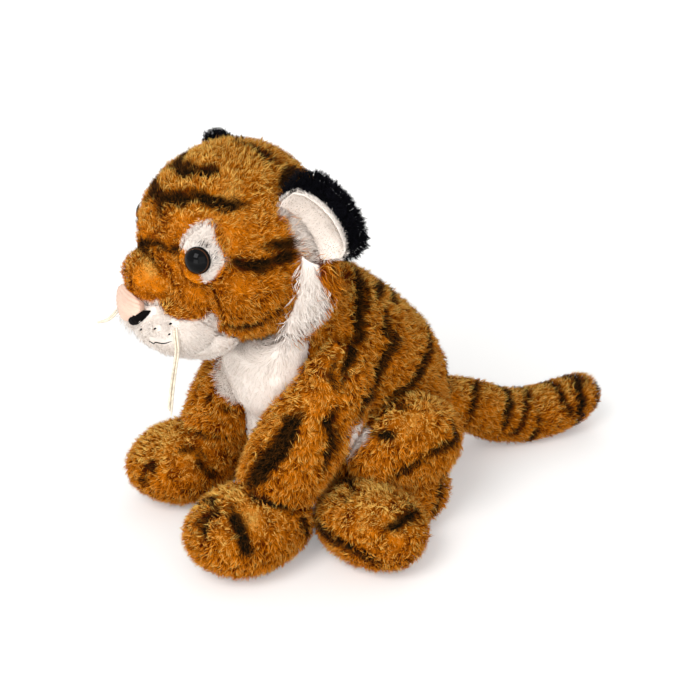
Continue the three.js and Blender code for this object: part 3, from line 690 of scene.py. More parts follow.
def remeshed(node, voxel, smooth_steps):
    """The solid's own form in small even faces, softened along its seams, and its arrays."""
    bm = bmesh.new()
    bm.from_mesh(frame["nodes"][node].data)
    bmesh.ops.remove_doubles(bm, verts=bm.verts, dist=WELD)
    mesh = bpy.data.meshes.new(node + "_form")
    bm.to_mesh(mesh)
    bm.free()
    form = add_object(node + "_form", mesh)
    remesh = form.modifiers.new("remesh", "REMESH")
    remesh.mode, remesh.voxel_size, remesh.adaptivity = "VOXEL", voxel, 0.0
    smooth = form.modifiers.new("smooth", "SMOOTH")
    smooth.factor, smooth.iterations = 0.5, smooth_steps
    bm = evaluated(form)
    bpy.data.meshes.remove(mesh)
    bmesh.ops.triangulate(bm, faces=bm.faces)
    drop_crumbs(bm)
    bm.verts.ensure_lookup_table()
    bm.verts.index_update()
    points = np.array([v.co[:] for v in bm.verts])
    faces = np.array([[v.index for v in f.verts] for f in bm.faces], dtype=np.int64)
    return bm, points, faces, vertex_normals(points, faces)


def drop_crumbs(bm):
    """Leaves out closed-off specks, such as bores that the small faces have shut."""
    left, islands = set(bm.verts), []
    while left:
        start = left.pop()
        island, edge = {start}, [start]
        while edge:
            vert = edge.pop()
            for link in vert.link_edges:
                other = link.other_vert(vert)
                if other not in island:
                    island.add(other)
                    edge.append(other)
        left -= island
        islands.append(island)
    least = CRUMB_SHARE * max(len(island) for island in islands)
    crumbs = [v for island in islands if len(island) < least for v in island]
    if crumbs:
        bmesh.ops.delete(bm, geom=crumbs, context="VERTS")


def set_places(bm, places):
    """Moves each vertex to its new place."""
    for vert, place in zip(bm.verts, places):
        vert.co = place


def vertex_normals(points, faces):
    """The way the mesh faces at each point."""
    corners = points[faces]
    normal = np.cross(corners[:, 1] - corners[:, 0], corners[:, 2] - corners[:, 0])
    total = np.zeros_like(points)
    for k in range(3):
        np.add.at(total, faces[:, k], normal)
    return unit(total)


def unit(vectors):
    """The same directions with a length of one."""
    return vectors / np.maximum(np.linalg.norm(vectors, axis=-1, keepdims=True), TINY)


def eased(values, low, high):
    """A soft step from 0 to 1 while the values go from low to high."""
    t = np.clip((values - low) / (high - low), 0.0, 1.0)
    return t * t * (3 - 2 * t)


def drift(points, size, seed):
    """Smooth wandering vectors, about one unit long, that change over the given size."""
    rng = np.random.default_rng(seed)
    waves = rng.normal(0, 1, (DRIFT_WAVES, 3)) * (DRIFT_PACE / size)
    phases = rng.uniform(0, 2 * math.pi, (DRIFT_WAVES, 3))
    reach = points @ waves.T
    total = np.zeros_like(points)
    for k in range(DRIFT_WAVES):
        total += np.sin(reach[:, k, None] + phases[k])
    return total / DRIFT_LENGTH


def tree_of(nodes):
    """A search tree of these solids' faces."""
    verts, faces = [], []
    for node in nodes:
        start = len(verts)
        verts.extend(v.co[:] for v in frame["nodes"][node].data.vertices)
        faces.extend([start + i for i in p.vertices] for p in frame["nodes"][node].data.polygons)
    return BVHTree.FromPolygons(verts, faces) if faces else None


def gaps_to(points, node, same_body, reach=0.008):
    """How far other solids of this body, or of other bodies, are, and the way to them."""
    low, high = (np.array(c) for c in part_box(node))
    close = []
    for name, other in frame["nodes"].items():
        if name == node or name.startswith("whisker"):
            continue
        if (other["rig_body"] == frame["nodes"][node]["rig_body"]) != same_body:
            continue
        other_low, other_high = (np.array(c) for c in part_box(name))
        if np.all(other_low - reach < high) and np.all(other_high + reach > low):
            close.append(name)
    tree = tree_of(close)
    gaps, toward = np.full(len(points), reach), np.zeros_like(points)
    if tree:
        for i, point in enumerate(points):
            spot, _, _, gap = tree.find_nearest(point, reach)
            if gap is not None:
                gaps[i] = gap
                toward[i] = np.array(spot) - point
    return gaps, unit(toward)


def own_thickness(points, faces, normals, most=0.02, start=0.0004):
    """How thick the piece is below each point, up to the most that matters."""
    tree = BVHTree.FromPolygons(points.tolist(), faces.tolist())
    depth = np.full(len(points), most)
    for i, (point, normal) in enumerate(zip(points, normals)):
        found = tree.ray_cast(Vector(point - normal * start), Vector(-normal), most)
        if found[3] is not None:
            depth[i] = found[3]
    return depth


def hidden_under(roots, normals, node, reach=0.006):
    """Whether this solid lies over each place, so that no pile comes through it from below."""
    tree = tree_of((node,))
    return np.array([tree.ray_cast(Vector(root), Vector(normal), reach)[0] is not None
                     for root, normal in zip(roots, normals)])


def spread_over(values, faces, steps):
    """Evens out a value over the mesh, from each point to those beside it."""
    count = np.zeros(len(values))
    for a, b in ((0, 1), (1, 2), (2, 0)):
        np.add.at(count, faces[:, a], 1)
        np.add.at(count, faces[:, b], 1)
    for _ in range(steps):
        total = np.zeros(values.shape)
        for a, b in ((0, 1), (1, 2), (2, 0)):
            np.add.at(total, faces[:, a], values[faces[:, b]])
            np.add.at(total, faces[:, b], values[faces[:, a]])
        values = 0.5 * values + 0.5 * total / np.maximum(count, 1)
    return values


def to_stretch(points, a, b):
    """How far each place is from the stretch a to b, how far along that is, and the spot there."""
    step = b - a
    along = np.clip((points - a) @ step / max(step @ step, TINY), 0, 1)
    spot = a + along[:, None] * step
    return np.linalg.norm(points - spot, axis=1), along, spot


def to_line(points, line):
    """How far each place is from a line of points, or from a single one, and the spot there."""
    ends = line if len(line) > 1 else np.repeat(line, 2, axis=0)
    gap, spot = np.full(len(points), FAR), np.zeros_like(points)
    for a, b in zip(ends[:-1], ends[1:]):
        near, _, foot = to_stretch(points, a, b)
        closer = near < gap
        gap[closer], spot[closer] = near[closer], foot[closer]
    return gap, spot


# Markings

# How far a stripe's edge wanders, as (size, distance); how soft and how far out the edge is, and how
# far from its route a stripe can show.
STRIPE_WANDERS = ((0.02, 0.0009), (0.006, 0.0006))
STRIPE_SOFT = 0.0018
STRIPE_EDGE = 0.0009
STRIPE_REACH = 0.016

# How far from the middle of its length, as a share, a stripe starts to taper and ends.
TAPER_SHARES = (0.32, 0.5)

# Each pattern's plane, its outline and the rearmost place of its white; then how far past the head's
# middle the white may go, and how its outline wanders, as (size, distance).
PATTERNS = {
    "muzzle": (MUZZLE_PLANE, MUZZLE_WHITE, -0.115),
    "cheek_ruff": (RUFF_PLANE, RUFF_WHITE, 0.0),
    "ear_lining": (EAR_PLANE, EAR_WHITE, 0.0),
}
PAST_MIDDLE = 0.0005
OUTLINE_WANDER = (0.01, 0.0003)


def across_head(points):
    """The same place on the other side of the head, which is turned a little on its neck."""
    return points - 2 * ((points - NECK) @ HEAD_SIDE)[:, None] * HEAD_SIDE


def across_body(points):
    """The same place on the other side of the body."""
    return points * np.array((-1, 1, 1))


def across_tail(points):
    """The same place on the other side of the tail's middle line."""
    flipped = points.copy()
    for i, point in enumerate(points):
        k = int(np.argmin(np.linalg.norm(TAIL_LINE[:-1] - point, axis=1)))
        along = unit(TAIL_LINE[k + 1] - TAIL_LINE[k])
        side = unit(np.cross(along, (0.0, 0.0, 1.0)))
        flipped[i] = point - 2 * ((point - TAIL_LINE[k]) @ side) * side
    return flipped


# How a group of routes gets to the other side; those with none stay on their own.
OTHER_SIDE = {"head": across_head, "lash": across_head, "tail": across_tail, "far": None,
              "front_leg_right": None, "front_leg_left": None, "hind_leg_left": None}


def routes_of(table, names):
    """The routes of these groups in metres, on both sides where both sides have them."""
    routes = []
    for name in names:
        for width, *points in table.get(name, ()):
            route = np.array(points, dtype=float) * MM
            routes.append((width * MM, route))
            flip = OTHER_SIDE.get(name, across_body)
            if flip:
                routes.append((width * MM, flip(route)))
    return routes


def route_marks(points, routes, seed, taper_share=0.55):
    """How marked each place is, from 0 away from these routes to 1 in the middle of one."""
    marks = np.zeros(len(points))
    (size, far), (fine_size, fine) = STRIPE_WANDERS
    wander = drift(points, size, seed) * far + drift(points, fine_size, seed + 1) * fine
    moved = points + wander
    for width, route in routes:
        low, high = route.min(0) - STRIPE_REACH, route.max(0) + STRIPE_REACH
        near = np.where(np.all((moved > low) & (moved < high), axis=1))[0]
        if not len(near):
            continue
        best = np.zeros(len(near))
        for k, (a, b) in enumerate(zip(route[:-1], route[1:])):
            gap, t, _ = to_stretch(moved[near], a, b)
            along = (k + t) / (len(route) - 1)
            taper = 1.0 - taper_share * eased(np.abs(along - 0.5), *TAPER_SHARES)
            inside = ((width * 0.5 + STRIPE_EDGE) * taper - gap) / STRIPE_SOFT + 0.5
            best = np.maximum(best, np.clip(inside, 0, 1))
        marks[near] = np.maximum(marks[near], best)
    return marks


def stripe_marks(points, names, seed):
    """How much of a stripe each place has."""
    return route_marks(points, routes_of(STRIPES, names), seed)


def inside_outline(places, outline, soft):
    """How far inside a flat outline each place lies, from 0 outside to 1 inside."""
    gap, inside = np.full(len(places), FAR), np.zeros(len(places), dtype=bool)
    for a, b in zip(outline, np.roll(outline, -1, axis=0)):
        gap = np.minimum(gap, to_stretch(places, a, b)[0])
        crosses = (a[1] > places[:, 1]) != (b[1] > places[:, 1])
        rise = b[1] - a[1] if b[1] != a[1] else TINY
        inside ^= crosses & (places[:, 0] < a[0] + (places[:, 1] - a[1]) * (b[0] - a[0]) / rise)
    return eased(np.where(inside, gap, -gap), -soft, soft)


def round_eyes(points, reach=0.03, soft=0.0008):
    """How white the pile is round the eyes."""
    way = np.array(EYE_AXIS.normalized())
    side = unit(np.cross((0.0, 0.0, 1.0), way))
    up = np.cross(way, side)
    marks = np.zeros(len(points))
    for spots in (points, across_head(points)):
        off = spots - np.array(EYE_SEAT)
        near = np.linalg.norm(off, axis=1) < reach
        flat = np.stack([off[near] @ side, off[near] @ up], axis=1)
        marks[near] = np.maximum(marks[near], inside_outline(flat, np.array(EYE_WHITE) * MM, soft))
    return marks


def patterned_white(points, plane, outline, rear, soft=0.0007):
    """White inside an outline on a pattern's plane, on the side of the head that each place is on."""
    middle, across, up = (np.array(v, dtype=float) for v in plane)
    size, far = OUTLINE_WANDER
    marks = np.zeros(len(points))
    for spots in (points, across_head(points)):
        mine = np.where(((spots - NECK) @ HEAD_SIDE > -PAST_MIDDLE) & (spots[:, 1] < rear))[0]
        off = spots[mine] - middle * MM + drift(spots[mine], size, seed=5) * far
        flat = np.stack([off @ across, off @ up], axis=1)
        marks[mine] = np.maximum(marks[mine], inside_outline(flat, np.array(outline) * MM, soft))
    return marks


def white_marks(points, coat):
    """How white the pile is: white comes down round the eyes, and orange down on the muzzle."""
    kind = coat.node.replace("_left", "").replace("_right", "")
    if kind in PATTERNS:
        return patterned_white(points, *PATTERNS[kind])
    if kind == "head":
        marks = route_marks(points, routes_of(WHITES, ["head"]), seed=41, taper_share=0.2)
        marks = np.maximum(round_eyes(points), marks)
        return np.maximum(marks, patterned_white(points, *PATTERNS["muzzle"]))
    if kind == "eye_patch":
        return round_eyes(points)
    if coat.node in WHITES:
        return route_marks(points, routes_of(WHITES, [coat.node]), seed=42, taper_share=0.3)
    if kind == "neck":
        return 1 - eased(points[:, 1], *NECK_WHITE_ENDS)
    return np.full(len(points), coat.white)


# Pile

# A strand's points are its root, three round its middle and its tip; the backing counts as half way up.
STRAND_FACES = np.array(((1, 2, 4), (2, 3, 4), (3, 1, 4), (2, 1, 0), (3, 2, 0), (1, 3, 0)))
STRAND_HEIGHTS = np.array((0.0, 0.6, 0.6, 0.6, 1.0))
STRAND_POINTS = len(STRAND_HEIGHTS)
STRAND_CORNERS = STRAND_FACES.size
BACKING_HEIGHT = 0.5

# How deep the roots go into the backing, and how high the pile and the backing stay over the floor.
ROOT_DEPTH = 0.0005
TIPS_OVER_FLOOR = 0.0004
MIDDLES_OVER_FLOOR = 0.0007
BACKING_OVER_FLOOR = 0.0005

# How strands differ in length and width, and tufts in length, as (least, spread).
LENGTH_VARIES, WIDTH_VARIES, TUFT_VARIES = (0.82, 0.36), (0.8, 0.4), (0.86, 0.28)

# Where pile is shorter, more of its dark roots show, a painted shade, so seams, partings and creases read
# darker.
# Least share of the length at a seam, in a parting and in a crease.
AT_SEAM, IN_PARTING, IN_CREASE = 0.55, 0.45, 0.6

# From where to where it grows to its full length: by how freely pile grows, and by the gap to a crease.
GROWTH_AT_SEAM, CREASE_GAPS = (0.05, 0.9), (0.0005, 0.003)

# How far tufts and single strands tilt, and how far up a strand bends.
TUFT_TILT, STRAND_TILT = 0.26, 0.17
BEND_AT = 0.55

# How much steeper a strand stands at its foot, how far it strays there, and how far its top is brushed.
FOOT_RISE, FOOT_STRAY, TOP_FLOW = 0.35, 0.6, 1.15

# How wide a tuft stays at its tips and its middles, and how far its middles follow its tips.
TIPS_SPREAD, MIDDLES_SPREAD, MIDDLES_FOLLOW = 0.25, 0.7, 0.12

# The tuft's share in a strand's tone, and how far from root to tip its marks are read.
TUFT_TONE = 0.55
SEEN_AT = 0.65
SEEN_JITTER = 0.0006

# The backing's tone, how far it changes, and over what size.
BACKING_TONE, BACKING_CHANGE, BACKING_SIZE = 0.5, 0.25, 0.01

# Swirls of the pile, as (size, share), and the pull of combing and of partings on it.
SWIRLS = ((0.045, 0.7), (0.014, 0.55))
COMB_PULL, PARTING_PULL = 2.5, 2.2

# Gaps to other bodies where pile starts and is full, as shares of the coat's own cover.
COVER_GAPS = np.array((0.55, 1.4))

# Where the cloth is this open, pile grows with at least this share.
OPEN_ENOUGH, LEAST_GROWTH = 0.3, 0.6

# The backing lies no deeper than this share of the piece's own thickness.
THICKNESS_SHARE = 0.3

# Gaps to the body's own pieces over which pile starts, stops leaning over a seam, and may swell.
SEAM_GAPS = (0.0003, 0.0008)
LEANING_GAPS = (0.001, 0.0055)
SWELL_GAPS = (0.0006, 0.003)

# Partings in the pile, as (half width, softness, how far the pile beside it is pushed away). Round the
# eyes it is drawn over the rim instead.
EYE_PARTING = (0.0050, 0.0013, -1.1)
NOSTRIL_PARTING = (0.0024, 0.003, 1.0)
MOUTH_PARTING = (0.0009, 0.003, 1.0)
DOT_PARTING = (0.0007, 0.0016, 1.0)

# How far from its parting a place can be touched by it, and the share below which no strand grows.
PARTING_REACH = 0.04
PARTED_SHARE = 0.04


class Coat:
    """What a coat of pile needs to know: where it grows, how long, and which way it lies.

    Places are in millimetres, and lengths and reaches in metres.
    """

    # Strands on a square metre, and how much more of them at (place, reach, share).
    per_square = 1.25e6
    thick_at = None
    # Thickness of a strand as a share of the set one, and how steeply it stands.
    width = 1.0
    rise = 0.55
    # Places where it is shorter or longer, as (place, inner reach, outer reach, share).
    short_at = ()
    # How much longer it is on the white routes.
    long_white = 0.0
    # The way it lies: one way, away from a source, along a line in metres, and combed at a place.
    way = (0.0, 0.3, -1.0)
    source = (0.0, 0.0, 400.0)
    pull = 0.0
    along_line = None
    combed_at = None
    # How far it swirls, gathers in tufts, and strays; and the size of a tuft.
    swirl = 0.55
    tufted = 0.55
    loose = 1.0
    tuft_share = 1.0
    # How far it leans over a seam, and how wide it stays clear of other bodies.
    over = 0.0
    cover = 0.0012
    # The backing: size of its faces, softening steps, and depth as a share of the set one.
    voxel = 0.0026
    smooth = 3
    depth = 1.0
    # Groups of stripes, how white and whether black, how full it is, and the solid it goes under.
    stripes = ()
    white = 0.0
    black = False
    fill = 0.7
    under = None

    def __init__(self, node, body, slot, length, **own):
        self.node, self.body, self.slot, self.length = node, body, slot, length
        for name, value in own.items():
            setattr(self, name, value)
        self.source = np.array(self.source) * MM
        self.way = np.array(self.way)


def at_least(share, least):
    """A share that goes from 0 to 1, made to start from the least instead."""
    return least + (1 - least) * share


def varied(rng, count, least, spread):
    """Random shares, from the least up by the spread."""
    return least + spread * rng.uniform(0, 1, count)


def away_from(points, place):
    """How far each point is from a place in millimetres."""
    return np.linalg.norm(points - np.array(place) * MM, axis=1)


def close_to(points, place, reach, core=0.4):
    """A share from 1 at a place in millimetres to 0 out of its reach."""
    return 1 - eased(away_from(points, place), core * reach, reach)


def partings():
    """The lines and spots that the pile leaves clear: eyes, nostrils, mouth and dots."""
    lines = [(EYE_PARTING, np.array(EYE_SEAT)[None]), (NOSTRIL_PARTING, np.array(NOSTRIL) * MM),
             (MOUTH_PARTING, np.array(MOUTH) * MM)]
    lines += [(DOT_PARTING, np.array([dot]) * MM) for dot in DOTS]
    return lines + [(parting, across_head(route)) for parting, route in lines]


def clear_of_partings(points):
    """A share from 0 in a parting to 1 away from it, and the way out of it."""
    share, way = np.ones(len(points)), np.zeros_like(points)
    for (radius, soft, outward), route in partings():
        near = np.where(np.linalg.norm(points - route.mean(0), axis=1) < PARTING_REACH)[0]
        if not len(near):
            continue
        gap, foot = to_line(points[near], route)
        share[near] = np.minimum(share[near], eased(gap, radius, radius + soft))
        push = 1.0 - eased(gap, radius, radius + 2.5 * soft)
        way[near] += unit(points[near] - foot) * (outward * push)[:, None]
    return share, way


def lie_of(points, normals, coat, seed):
    """The way the pile is brushed at each place, flat along the cloth."""
    flow = np.repeat(coat.way[None], len(points), axis=0)
    if coat.pull:
        flow = flow + coat.pull * unit(points - coat.source)
    if coat.combed_at is not None:
        centre, reach, way = coat.combed_at
        flow = flow + COMB_PULL * np.array(way) * close_to(points, centre, reach)[:, None]
    if coat.along_line is not None:
        line = coat.along_line
        nearest = np.argmin(np.linalg.norm(points[:, None] - line[None, :-1], axis=2), axis=1)
        flow = unit(line[nearest + 1] - line[nearest])
    swirl = sum(drift(points, size, seed + k) * share for k, (size, share) in enumerate(SWIRLS))
    flow = unit(flow) + coat.swirl * swirl
    if coat.body == "head":
        flow = flow + PARTING_PULL * clear_of_partings(points)[1]
    return unit(flow - normals * np.sum(flow * normals, axis=1)[:, None])


def crease_gaps(points):
    """Each crease's depth and reach, and how far each place is from it."""
    for depth, reach, *route in CREASES:
        yield depth * MM, reach * MM, to_line(points, np.array(route, dtype=float) * MM)[0]


def face_relief(points):
    """How far the stuffing swells out, or a crease draws in, at each place of the face."""
    rise, fall = np.zeros(len(points)), np.zeros(len(points))
    for spots in (points, across_head(points)):
        for height, reach, centre in SWELLS:
            rise = np.maximum(rise, height * MM * close_to(spots, centre, reach * MM, 0.2))
        for depth, reach, gap in crease_gaps(spots):
            fall = np.maximum(fall, depth * (1 - eased(gap, 0.0, reach)))
    return rise - fall


def unwrapped(bm, name):
    """The backing's own map, which the strands share at their roots."""
    mesh = bpy.data.meshes.new(name)
    bm.to_mesh(mesh)
    piece = add_object(name, mesh)
    mesh.uv_layers.new(name=MAP_NAME)
    bpy.ops.object.select_all(action="DESELECT")
    piece.select_set(True)
    bpy.context.view_layer.objects.active = piece
    bpy.ops.object.mode_set(mode="EDIT")
    bpy.ops.mesh.select_all(action="SELECT")
    bpy.ops.uv.smart_project(angle_limit=math.radians(66), island_margin=0.002)
    bpy.ops.object.mode_set(mode="OBJECT")
    corners = np.zeros(len(mesh.loops) * 2)
    mesh.uv_layers[MAP_NAME].data.foreach_get("uv", corners)
    bpy.data.objects.remove(piece)
    bpy.data.meshes.remove(mesh)
    return corners.reshape(-1, 3, 2)


def nearest_centres(roots, centres):
    """The number of the centre that is nearest to each root."""
    tree = KDTree(len(centres))
    for i, centre in enumerate(centres):
        tree.insert(centre, i)
    tree.balance()
    return np.array([tree.find(root)[1] for root in roots], dtype=np.int64)


def scattered(rng, weight, count):
    """Faces picked evenly by their weight, and a random place in each as shares of its corners."""
    total = weight.sum()
    steps = (np.arange(count) + rng.uniform(0, 1, count)) / count * total
    chosen = np.minimum(np.searchsorted(np.cumsum(weight), steps), len(weight) - 1)
    u, v = rng.uniform(0, 1, count), rng.uniform(0, 1, count)
    over = u + v > 1
    u[over], v[over] = 1 - u[over], 1 - v[over]
    return chosen, np.stack([1 - u - v, u, v], axis=1)


def strand_lengths(rng, roots, growing, coat):
    """How long each strand is, and whether it stands clear of the partings."""
    length = coat.length * varied(rng, len(roots), *LENGTH_VARIES)
    length *= at_least(eased(growing, *GROWTH_AT_SEAM), AT_SEAM)
    if coat.long_white:
        marks = route_marks(roots, routes_of(WHITES, [coat.node]), seed=43, taper_share=0.2)
        length *= 1 + coat.long_white * marks
    for centre, low, high, least in coat.short_at:
        length *= at_least(eased(away_from(roots, centre), low, high), least)
    if coat.body != "head":
        return length, np.ones(len(roots), dtype=bool)
    share = clear_of_partings(roots)[0]
    length *= at_least(share, IN_PARTING)
    if coat.node == "head":
        creases = [gap for spots in (roots, across_head(roots)) for _, _, gap in crease_gaps(spots)]
        length *= at_least(eased(np.min(creases, axis=0), *CREASE_GAPS), IN_CREASE)
    return length, share > PARTED_SHARE


def grow_strands(points, faces, corners_uv, growing, leaning, coat, seed):
    """Strands of pile as slim closed spindles of six faces, leaning and drawn together in tufts."""
    rng = np.random.default_rng(seed)
    normals = vertex_normals(points, faces)
    corner = points[faces]
    area = 0.5 * np.linalg.norm(np.cross(corner[:, 1] - corner[:, 0], corner[:, 2] - corner[:, 0]), axis=1)
    if coat.thick_at:
        centre, reach, share = coat.thick_at
        growing = growing * (1 + (share - 1) * close_to(points, centre, reach))
    weight = area * growing[faces].mean(1)
    count = int(weight.sum() * coat.per_square * pile().close_share)
    if count < FEWEST_STRANDS:
        return None
    chosen, shares = scattered(rng, weight, count)

    def at_roots(values):
        return np.einsum("ij,ij...->i...", shares, values[faces[chosen]])

    roots = at_roots(points)
    upright = unit(at_roots(normals))
    root_uv = np.einsum("ij,ijk->ik", shares, corners_uv[chosen])
    flow = unit(lie_of(roots, upright, coat, seed + 11) + at_roots(leaning))
    length, kept = strand_lengths(rng, roots, at_roots(growing), coat)
    if coat.under:
        kept &= ~hidden_under(roots, upright, coat.under)
    tuft = pile().tuft_size * coat.tuft_share
    centre_count = max(3, int(weight.sum() / (tuft * tuft)))
    picked = rng.choice(count, min(centre_count, count), replace=False)
    mine = picked[nearest_centres(roots, roots[picked])]
    tuft_tilt = rng.normal(0, TUFT_TILT * coat.loose, (count, 3))[mine]
    tuft_tone = rng.uniform(0, 1, count)[mine]
    length *= varied(rng, count, *TUFT_VARIES)[mine]
    single = rng.normal(0, STRAND_TILT * coat.loose, (count, 3))
    low_way = unit(upright * (coat.rise + FOOT_RISE) + flow * (1 - coat.rise) + single * FOOT_STRAY)
    top_way = unit(upright * coat.rise + flow * (TOP_FLOW - coat.rise) + tuft_tilt + single)
    middle = roots + low_way * (length * BEND_AT)[:, None]
    tips = middle + top_way * (length * (1 - BEND_AT))[:, None]
    heart_way = unit(upright[mine] * coat.rise + flow[mine] * (1 - coat.rise) + tuft_tilt)
    heart = roots[mine] + heart_way * length[:, None]
    tips += (heart + (roots - roots[mine]) * TIPS_SPREAD - tips) * coat.tufted
    middle += (heart + (roots - roots[mine]) * MIDDLES_SPREAD - tips) * (coat.tufted * MIDDLES_FOLLOW)
    start = roots - upright * ROOT_DEPTH
    tips[:, 2] = np.maximum(tips[:, 2], TIPS_OVER_FLOOR)
    middle[:, 2] = np.maximum(middle[:, 2], MIDDLES_OVER_FLOOR)
    width = pile().strand_width * coat.width * varied(rng, count, *WIDTH_VARIES)
    axis = unit(tips - start)
    helper = np.where(np.abs(axis[:, 2:]) < 0.8, np.array((0.0, 0.0, 1.0)), np.array((1.0, 0.0, 0.0)))
    side = unit(np.cross(axis, helper))
    other = np.cross(axis, side)
    turn = rng.uniform(0, 2 * math.pi, count)
    rings = []
    for k in range(3):
        angle = (turn + k * 2 * math.pi / 3)[:, None]
        out = side * np.cos(angle) + other * np.sin(angle)
        rings.append(middle + out * (width / 2)[:, None])
    verts = np.stack([start, *rings, tips], axis=1)
    tone = TUFT_TONE * tuft_tone + (1 - TUFT_TONE) * rng.uniform(0, 1, count)
    seen = (1 - SEEN_AT) * roots + SEEN_AT * tips
    grown = {"verts": verts, "uv": root_uv, "lie": upright, "seen": seen, "tone": tone}
    return {name: values[kept] for name, values in grown.items()}


def make_mesh(name, points, faces, corner_uv, marks, lie):
    """A mesh from its arrays, with its map and the marks that its material reads."""
    mesh = bpy.data.meshes.new(name)
    mesh.vertices.add(len(points))
    mesh.vertices.foreach_set("co", points.astype(np.float32).ravel())
    mesh.loops.add(len(faces) * 3)
    mesh.loops.foreach_set("vertex_index", faces.astype(np.int32).ravel())
    mesh.polygons.add(len(faces))
    mesh.polygons.foreach_set("loop_start", np.arange(0, len(faces) * 3, 3, dtype=np.int32))
    mesh.polygons.foreach_set("use_smooth", np.ones(len(faces), dtype=bool))
    mesh.update(calc_edges=True)
    layer = mesh.uv_layers.new(name=MAP_NAME)
    layer.data.foreach_set("uv", corner_uv.astype(np.float32).ravel())
    shade = mesh.attributes.new("marks", "FLOAT_COLOR", "POINT")
    shade.data.foreach_set("color", marks.astype(np.float32).ravel())
    way = mesh.attributes.new("lie", "FLOAT_VECTOR", "POINT")
    way.data.foreach_set("vector", lie.astype(np.float32).ravel())
    return mesh


def marks_of(places, coat, seed, height, tone):
    """The marks of each place: stripe, height on the strand, tone and white."""
    marks = np.empty((len(places), 4))
    marks[:, 0] = stripe_marks(places, coat.stripes, seed + 3)
    marks[:, 1], marks[:, 2] = height, tone
    marks[:, 3] = white_marks(places, coat)
    return marks


def coat_of(coat):
    """The backing cloth and its pile as one closed-up piece that stands for the solid."""
    settings = pile()
    seed = settings.seed + sum(ord(c) for c in coat.node)
    bm, points, faces, normals = remeshed(coat.node, coat.voxel, coat.smooth)
    own_gaps, toward = gaps_to(points, coat.node, True)
    other_gaps = gaps_to(points, coat.node, False)[0]
    open_share = np.minimum(eased(own_gaps, *SEAM_GAPS), eased(other_gaps, *(coat.cover * COVER_GAPS)))
    growing = np.maximum(spread_over(open_share, faces, 1), LEAST_GROWTH * (open_share > OPEN_ENOUGH))
    sink = spread_over(open_share, faces, 3)
    leaning = toward * (coat.over * (1 - eased(own_gaps, *LEANING_GAPS)))[:, None]
    if coat.node == "head":
        points = points + normals * (face_relief(points) * eased(own_gaps, *SWELL_GAPS))[:, None]
        normals = vertex_normals(points, faces)
    most = own_thickness(points, faces, normals) * THICKNESS_SHARE
    depth = np.minimum(settings.backing_depth * coat.depth, most)
    backing = points - normals * (depth * sink)[:, None]
    backing[:, 2] = np.maximum(backing[:, 2], BACKING_OVER_FLOOR)
    set_places(bm, backing)
    corners_uv = unwrapped(bm, coat.node + "_map")
    bm.free()
    strands = grow_strands(backing, faces, corners_uv, growing, leaning, coat, seed)
    tone = np.clip(BACKING_TONE + BACKING_CHANGE * drift(backing, BACKING_SIZE, seed)[:, 0], 0, 1)
    marks = marks_of(backing, coat, seed, BACKING_HEIGHT, tone)
    lie, uv = vertex_normals(backing, faces), corners_uv.reshape(-1, 2)
    if strands is not None:
        count, first = len(strands["verts"]), len(backing)
        backing = np.concatenate([backing, strands["verts"].reshape(-1, 3)])
        order = first + np.arange(count)[:, None, None] * STRAND_POINTS + STRAND_FACES[None]
        faces = np.concatenate([faces, order.reshape(-1, 3)])
        lie = np.concatenate([lie, np.repeat(strands["lie"], STRAND_POINTS, axis=0)])
        uv = np.concatenate([uv, np.repeat(strands["uv"], STRAND_CORNERS, axis=0)])
        jitter = np.random.default_rng(seed + 5).normal(0, SEEN_JITTER, strands["seen"].shape)
        whole = marks_of(strands["seen"] + jitter, coat, seed, 0.0, strands["tone"])
        whole = np.repeat(whole, STRAND_POINTS, axis=0)
        whole[:, 1] = np.tile(STRAND_HEIGHTS, count)
        marks = np.concatenate([marks, whole])
    piece = add_object(coat.node + "_coat", make_mesh(coat.node + "_coat", backing, faces, uv, marks, lie))
    finish = "ear plush" if coat.node.startswith("ear_lining") else coat.slot.replace("_", " ")
    piece.data.materials.append(pile_material(finish, coat.black))
    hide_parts(coat.node)
    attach(piece, coat.body)


# Cords

# Radius at the last points of a thread as a share of its own, and the steps from point to point of a
# smooth line.
THREAD_ENDS = (0.9, 0.75, 0.5)
LINE_STEPS = 24


def smooth_line(points, count):
    """Even points along a smooth line through these points."""
    points = np.array(points, dtype=float) * MM
    padded = np.concatenate([2 * points[:1] - points[1:2], points, 2 * points[-1:] - points[-2:-1]])
    line = []
    for k in range(len(points) - 1):
        a, b, c, d = padded[k:k + 4]
        for t in np.linspace(0, 1, LINE_STEPS, endpoint=False):
            line.append(0.5 * (2 * b + (c - a) * t + (2 * a - 5 * b + 4 * c - d) * t ** 2
                               + (3 * b - a - 3 * c + d) * t ** 3))
    line = np.array(line + [points[-1]])
    run = np.concatenate([[0], np.cumsum(np.linalg.norm(np.diff(line, axis=0), axis=1))])
    even = np.linspace(0, run[-1], count)
    return np.stack([np.interp(even, run, line[:, k]) for k in range(3)], axis=1)


def round_curve(name, line, depth, resolution, radii):
    """A round curve along a line of points, with its radius at each as a share of the depth."""
    curve = bpy.data.curves.new(name, "CURVE")
    curve.dimensions, curve.bevel_depth, curve.bevel_resolution = "3D", depth, resolution
    curve.use_fill_caps = True
    spline = curve.splines.new("POLY")
    spline.points.add(len(line) - 1)
    for point, place, radius in zip(spline.points, line, radii):
        point.co = (*place, 1.0)
        point.radius = radius
    spline.use_smooth = True
    return curve


def line_length(line):
    """The length along a line of points."""
    return float(np.linalg.norm(np.diff(line, axis=0), axis=1).sum())


# Operators

# How far the middle of the photo is from the camera's axis, in pixels, and the photo's own side.
VIEW_SHIFT = (30, 10)
PHOTO_SIDE = 700

